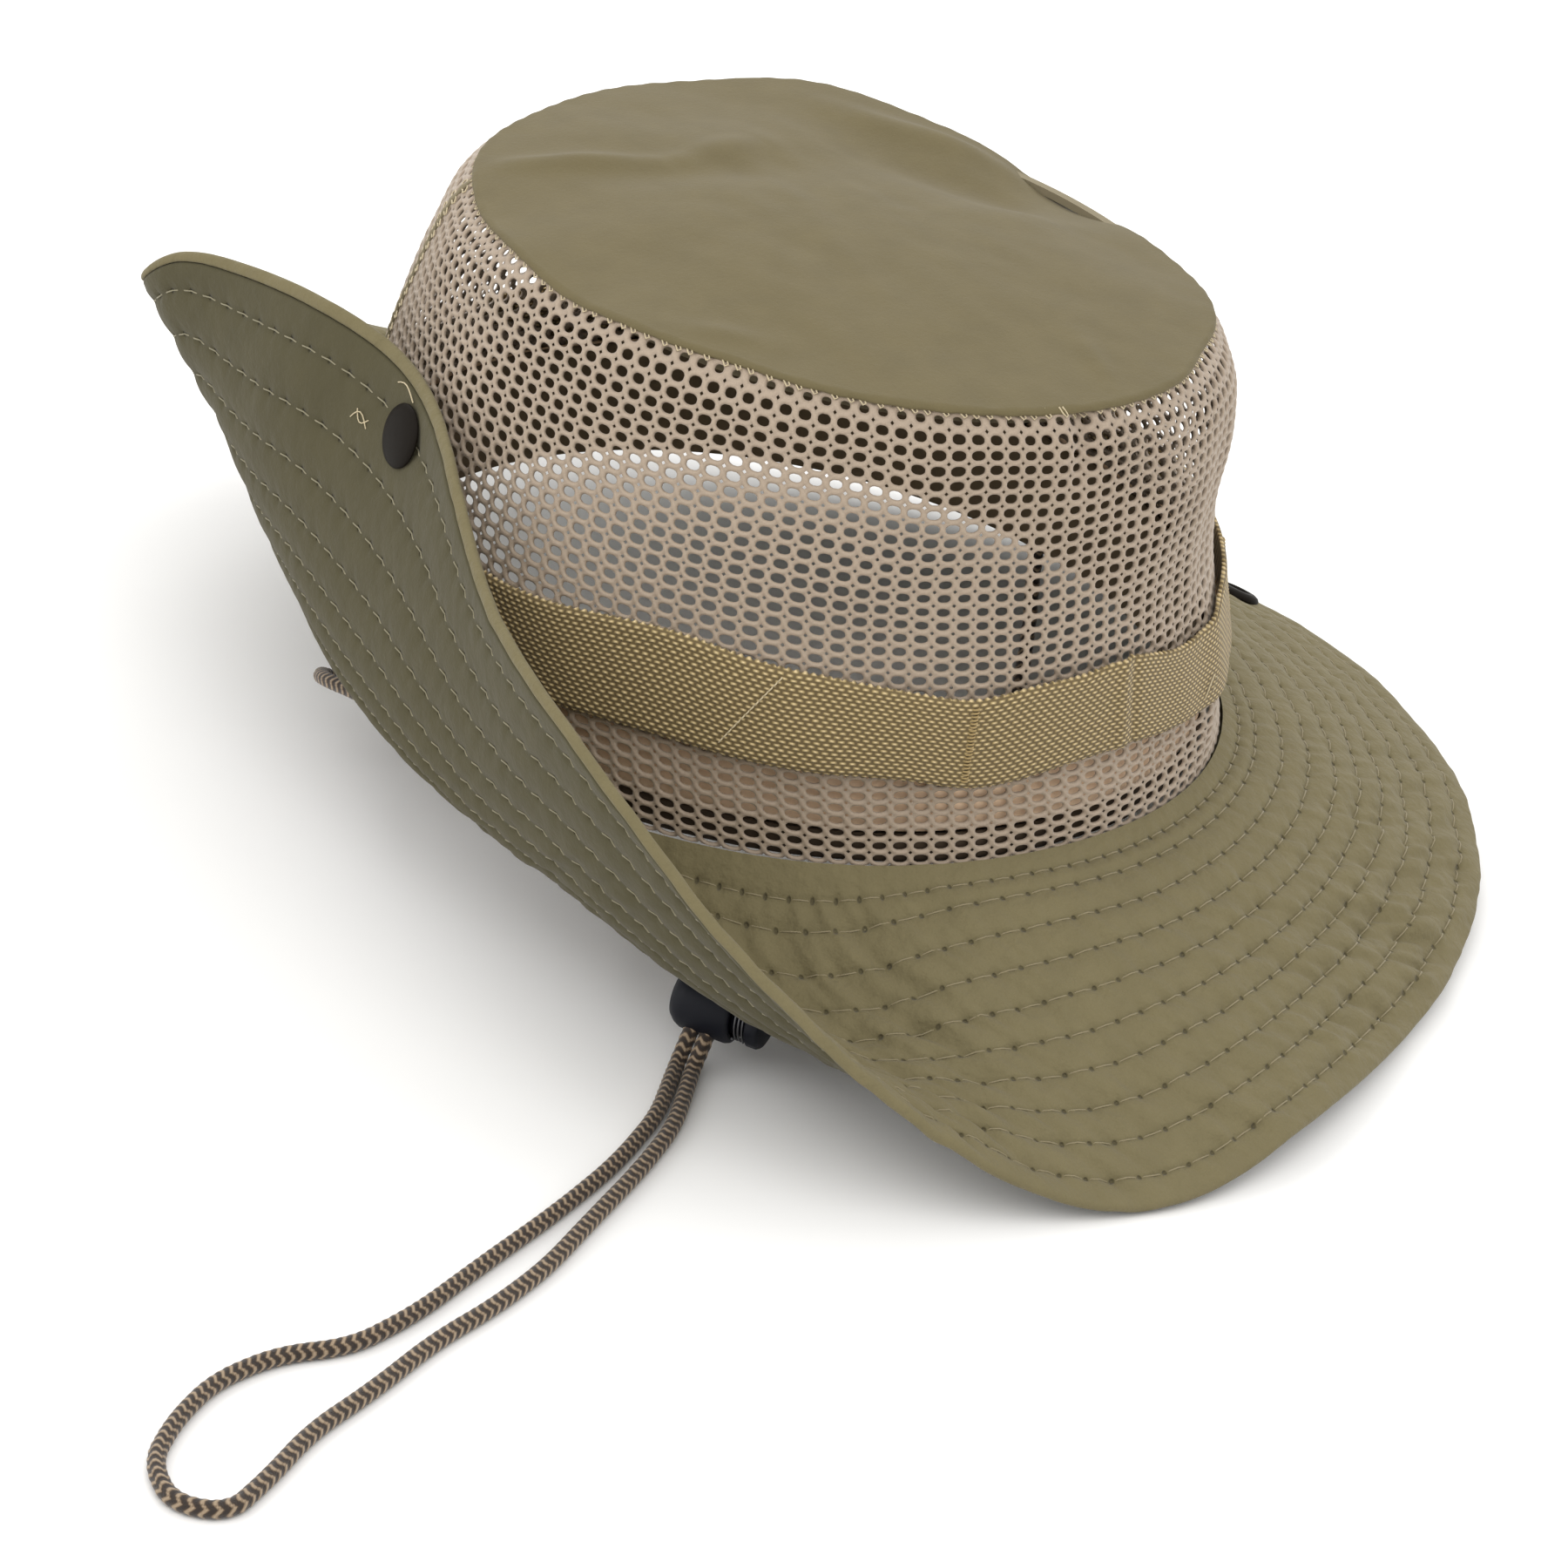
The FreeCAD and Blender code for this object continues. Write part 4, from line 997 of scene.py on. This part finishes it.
heights = np.linspace(SWEAT_BASE + 5.8, SWEAT_BASE + SWEAT_HIGH, 12)
insets = 0.12 * np.sin(np.linspace(0, 3, 12))
facing = oval_band("sweatband_facing", heights, insets, sweat_outer, 0.5, 1.0)
heights = np.linspace(SWEAT_BASE, SWEAT_BASE + SWEAT_HIGH + 0.4, 14)
inner = oval_band("sweatband_inner", heights, 0.75 + np.zeros(14), sweat_inner, 0.6)
for piece, wide in ((facing, 0.0205), (inner, 0.026)):
    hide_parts("sweatband")
# Painted shade: a dark band low inside the mesh stands in for the shade at the foot of the crown.
heights = np.linspace(SWEAT_BASE - 0.6, SWEAT_BASE + 5.4, 6)
shade_band = oval_band("foot_shade_band", heights, -0.6 + np.zeros(6), foot_shade_dark, 0.9, 1.1)
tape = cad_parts["tip_seam_tape"]
tape.data.materials.clear()
tape.data.materials.append(tape_cloth)

# ---- press snaps


SNAP_PROFILES = {
    "cap": [(0, 0), (6.2, 0), (6.6, 0.25), (6.62, 0.5), (6.3, 0.95), (5.4, 1.35), (3.6, 1.72),
            (1.6, 1.9), (0.0, 1.95)],
    "socket": [(0, 0.45), (2.7, 0.45), (2.9, 0.6), (2.9, 1.3), (3.3, 1.62), (4.4, 1.5),
               (5.2, 1.15), (5.6, 0.6), (5.6, 0)],
    "stud": [(5.2, 0), (5.2, 0.45), (4.6, 0.72), (2.9, 0.78), (2.3, 0.95), (2.25, 1.45),
             (1.9, 1.76), (0, 1.82)],
    "post": [(0, 0), (4.7, 0.05), (5.0, 0.3), (5.0, 0.8), (4.6, 1.0), (0, 1.0)]}


def snap_set(side, angle, share, wall_angle, wall_z, cap_gap):
    """Cap and socket on the brim at an angle and share of its width, stud and post on the wall."""
    p, n = brim_mid(angle, share), brim_normal(angle, share)
    w, m = wall(wall_angle, wall_z), wall_normal(wall_angle, wall_z)
    flap = side + "_flap"
    for part, base, axis, body in (("cap", p - n * (FACE + cap_gap), -n, flap),
                                   ("socket", p + n * (FACE + 0.05), n, flap),
                                   ("stud", w + m * 0.35, m, "crown"),
                                   ("post", w - m * 2.5, m, "crown")):
        spot = frame_matrix(base, axis)
        obj = lathe(side + "_" + part, SNAP_PROFILES[part], spot, snap_metal, body)
        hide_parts(side + "_snap_" + part)


snap_set("right", SNAP_ANGLE, SNAP_SHARE, 167.4, 52.8, 0.45)
snap_set("left", 3.5, 0.84, 6.0, 52.7, 0.1)

# ---- chin cord and lock

LOCK = np.array([-74.5, -79.9, -26.1])
CORD_DIR = unit(np.array([-0.6, -0.3, -0.742]))
BARREL_DIR = np.array([0.447, -0.894, 0.0])
BARREL_DIR = unit(BARREL_DIR - CORD_DIR * BARREL_DIR.dot(CORD_DIR))
CORD_RADIUS, HALF_PITCH, TABLE, CORD_END = 1.6, 1.72, -36.2, 0.9
STRAND_A, STRAND_B = LOCK - BARREL_DIR * HALF_PITCH, LOCK + BARREL_DIR * HALF_PITCH
LOCK_TOP, LOCK_FOOT = CORD_DIR * -11.0, CORD_DIR * 13.6
# The cord's way from the right eyelet through the lock, round its tail and back to the left eyelet.
ROUTE = [
    (-83.1, 16, CORD_END), (-83.1, 17.5, -5), (-83.4, 23, -9.6), (-84, 34, -10.6), (-83.5, 46, -13.5),
    (-77, 56, -18.5), (-66, 58.5, -25), (-56, 50, -31.5), (-49, 35, -35.4), (-45.5, 15, TABLE),
    (-47, -8, TABLE), (-51, -30, -34.5), (-56.5, -50, -29), (-63, -66, -21), STRAND_A + LOCK_TOP,
    STRAND_A + LOCK_FOOT, (-88, -86.5, TABLE), (-98, -95.5, TABLE), (-115, -105.5, TABLE),
    (-135, -113.8, TABLE), (-156, -121, TABLE), (-176, -128.3, TABLE), (-192, -131.5, TABLE),
    (-205, -127.5, TABLE), (-219, -129, TABLE), (-231, -135.5, TABLE), (-240.5, -143.5, TABLE),
    (-243.5, -154.5, TABLE), (-236.5, -161.5, TABLE), (-225.5, -156.5, TABLE), (-212, -149, TABLE),
    (-196, -144, TABLE), (-178, -137, TABLE), (-162, -133, TABLE), (-147, -127.5, TABLE),
    (-131, -119, TABLE), (-113, -109.7, TABLE), (-97.5, -100.3, TABLE), (-86.4, -89.8, TABLE),
    STRAND_B + LOCK_FOOT, STRAND_B + LOCK_TOP, (-58.5, -77, -18), (-45, -70, -23.5), (-30, -60, -30),
    (-10, -49, -35), (14, -38, TABLE), (38, -27, -35.6), (58, -14, -30.5), (71, -3, -23),
    (78.5, 5, -14), (81, 8.7, -6.5), (81.1, 9, CORD_END)]
ARC_SHARE = 0.45


def rounded(points):
    """Straight runs joined by tangent arcs, as a dense line of points."""
    points = [np.asarray(p, float) for p in points]
    line, start = [], points[0]
    for before, corner, after in zip(points, points[1:], points[2:]):
        reach = ARC_SHARE * min(np.linalg.norm(corner - before), np.linalg.norm(after - corner))
        into, out = unit(corner - before), unit(after - corner)
        turn = math.acos(float(np.clip(into.dot(out), -1, 1)))
        radius = reach / math.tan(turn / 2)
        first, last = corner - into * reach, corner + out * reach
        centre = corner + unit(out - into) * (radius / math.cos(turn / 2))
        line += [start + (first - start) * t for t in np.linspace(0, 1, 6)[:-1]]
        for t in np.linspace(0, 1, 10)[:-1]:
            line.append(centre + unit(first + (last - first) * t - centre) * radius)
        start = last
    line += [start + (points[-1] - start) * t for t in np.linspace(0, 1, 6)]
    return np.array(line)


def resample(line, step):
    run = np.append(0, np.cumsum(np.linalg.norm(np.diff(line, axis=0), axis=1)))
    at = np.linspace(0, run[-1], int(run[-1] / step))
    return np.stack([np.interp(at, run, line[:, k]) for k in range(3)], -1), at


def make_cord():
    line, run = resample(rounded(ROUTE), 0.35)
    tangent = unit(np.gradient(line, axis=0))
    side = np.zeros_like(line)
    side[0] = unit(np.cross(tangent[0], [0.3, 0.2, 1.0]))
    for i in range(1, len(line)):
        side[i] = unit(side[i - 1] - tangent[i] * side[i - 1].dot(tangent[i]))
    top = np.cross(side, tangent)
    sides = 20
    turn = np.arange(sides) / sides
    wale = 2 * np.abs(turn * 4 - np.round(turn * 4))[None]
    phase = run[:, None] / 2.05 + 0.5 * wale
    stitch = np.cos(2 * np.pi * phase)
    radius = CORD_RADIUS + 0.07 * stitch - 0.10 * (wale < 0.15)
    a = 2 * np.pi * turn[None, :, None]
    points = line[:, None] + radius[..., None] * (side[:, None] * np.cos(a) + top[:, None] * np.sin(a))
    # Stitch height, which the cord's colour turns into painted shade in the hollows and painted
    # highlight on the tops.
    loop = 0.5 + 0.5 * stitch
    obj = skin("chin_cord_knit", points, cord_knit, "crown", {"loop": loop})
    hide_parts("chin_cord")
    return obj, line


def make_lock():
    spot = frame_matrix(LOCK, BARREL_DIR, CORD_DIR)
    profile = [(0, -7.2), (3.4, -7.2), (4.9, -6.7), (5.9, -5.6), (6.45, -4.4), (6.5, -3.4),
               (6.5, 5.2), (6.2, 5.9), (5.6, 6.2), (4.8, 6.2), (4.65, 5.9), (4.65, 2.0)]
    body = lathe("lock_barrel", profile, spot, lock_plastic, "cord_lock", 72)
    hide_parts("cord_lock_body")

    def grip(turn, height):
        return -0.035 * (np.cos(turn * 12) > 0.3) * ((height > 9.9) & (height < 12.0))

    profile = [(0, 5.0), (4.25, 5.0), (4.25, 9.3), (4.6, 9.6), (5.3, 9.6), (5.6, 9.9),
               (5.6, 11.6), (5.3, 12.1), (4.6, 12.4), (0, 12.5)]
    button = lathe("lock_plunger", profile, spot, lock_plastic, "lock_button", 72, grip)
    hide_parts("cord_lock_button")
    return [body, button]


# Loose thread ends under the right flap, near its snap.
loose_runs = []
for spread, share, lean, reach in ((-7.6, 0.86, 0.020, 2.6), (-7.0, 0.88, -0.015, 2.0),
                                   (-3.0, 0.965, 0.012, 3.0)):
    at = np.linspace(0, 1, 7)
    angle = SNAP_ANGLE + spread + reach * at
    s = share + lean * np.sin(at * 3)
    lift = -(FACE + 0.15 + 0.5 * np.sin(at * 2.6))
    loose_runs.append(brim_mid(angle, s) + brim_normal(angle, s) * lift[:, None])
threads("loose_threads", loose_runs, 0.14, thread_loop, "right_flap")

cord, cord_line = make_cord()
lock_pieces = make_lock()
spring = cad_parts["cord_lock_spring"]
spring.data.materials.clear()
spring.data.materials.append(spring_wire)
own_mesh(spring)

# ---- floor and light


FLOOR_HEIGHT, FLOOR_REACH = -37.9, 4000.0
# Lamps: name, place in metres, size in metres, watts. All point at the hat.
LAMPS = (("key", (-0.7, -1.0, 1.9), 2.2, 20), ("fill", (1.5, -0.8, 1.3), 2.2, 10),
         ("back", (0.7, 1.3, 1.1), 1.8, 14), ("side", (-1.5, 0.5, 0.9), 1.8, 10))


def make_stage():
    corners = [(x * FLOOR_REACH, y * FLOOR_REACH, FLOOR_HEIGHT)
               for x, y in ((-1, -1), (1, -1), (1, 1), (-1, 1))]
    paper = Shade("paper", linear(244, 243, 241), 0.9).done()
    build("floor", corners, [[0, 1, 2, 3]], paper)
    for name, spot, size, power in LAMPS:
        data = bpy.data.lights.new(name, "AREA")
        data.shape, data.size, data.energy = "DISK", size, power
        light = bpy.data.objects.new(name, data)
        turn = (-Vector(spot)).to_track_quat("-Z", "Y").to_matrix().to_4x4()
        light.matrix_world = Matrix.Translation(Vector(spot)) @ turn
        bpy.context.scene.collection.objects.link(light)
    world = bpy.data.worlds.new("studio")
    bpy.context.scene.world = world
    world.use_nodes = True
    background = world.node_tree.nodes["Background"]
    background.inputs["Color"].default_value = (1, 1, 1, 1)
    background.inputs["Strength"].default_value = 0.85
    bpy.context.scene.view_settings.view_transform = "Standard"


make_stage()
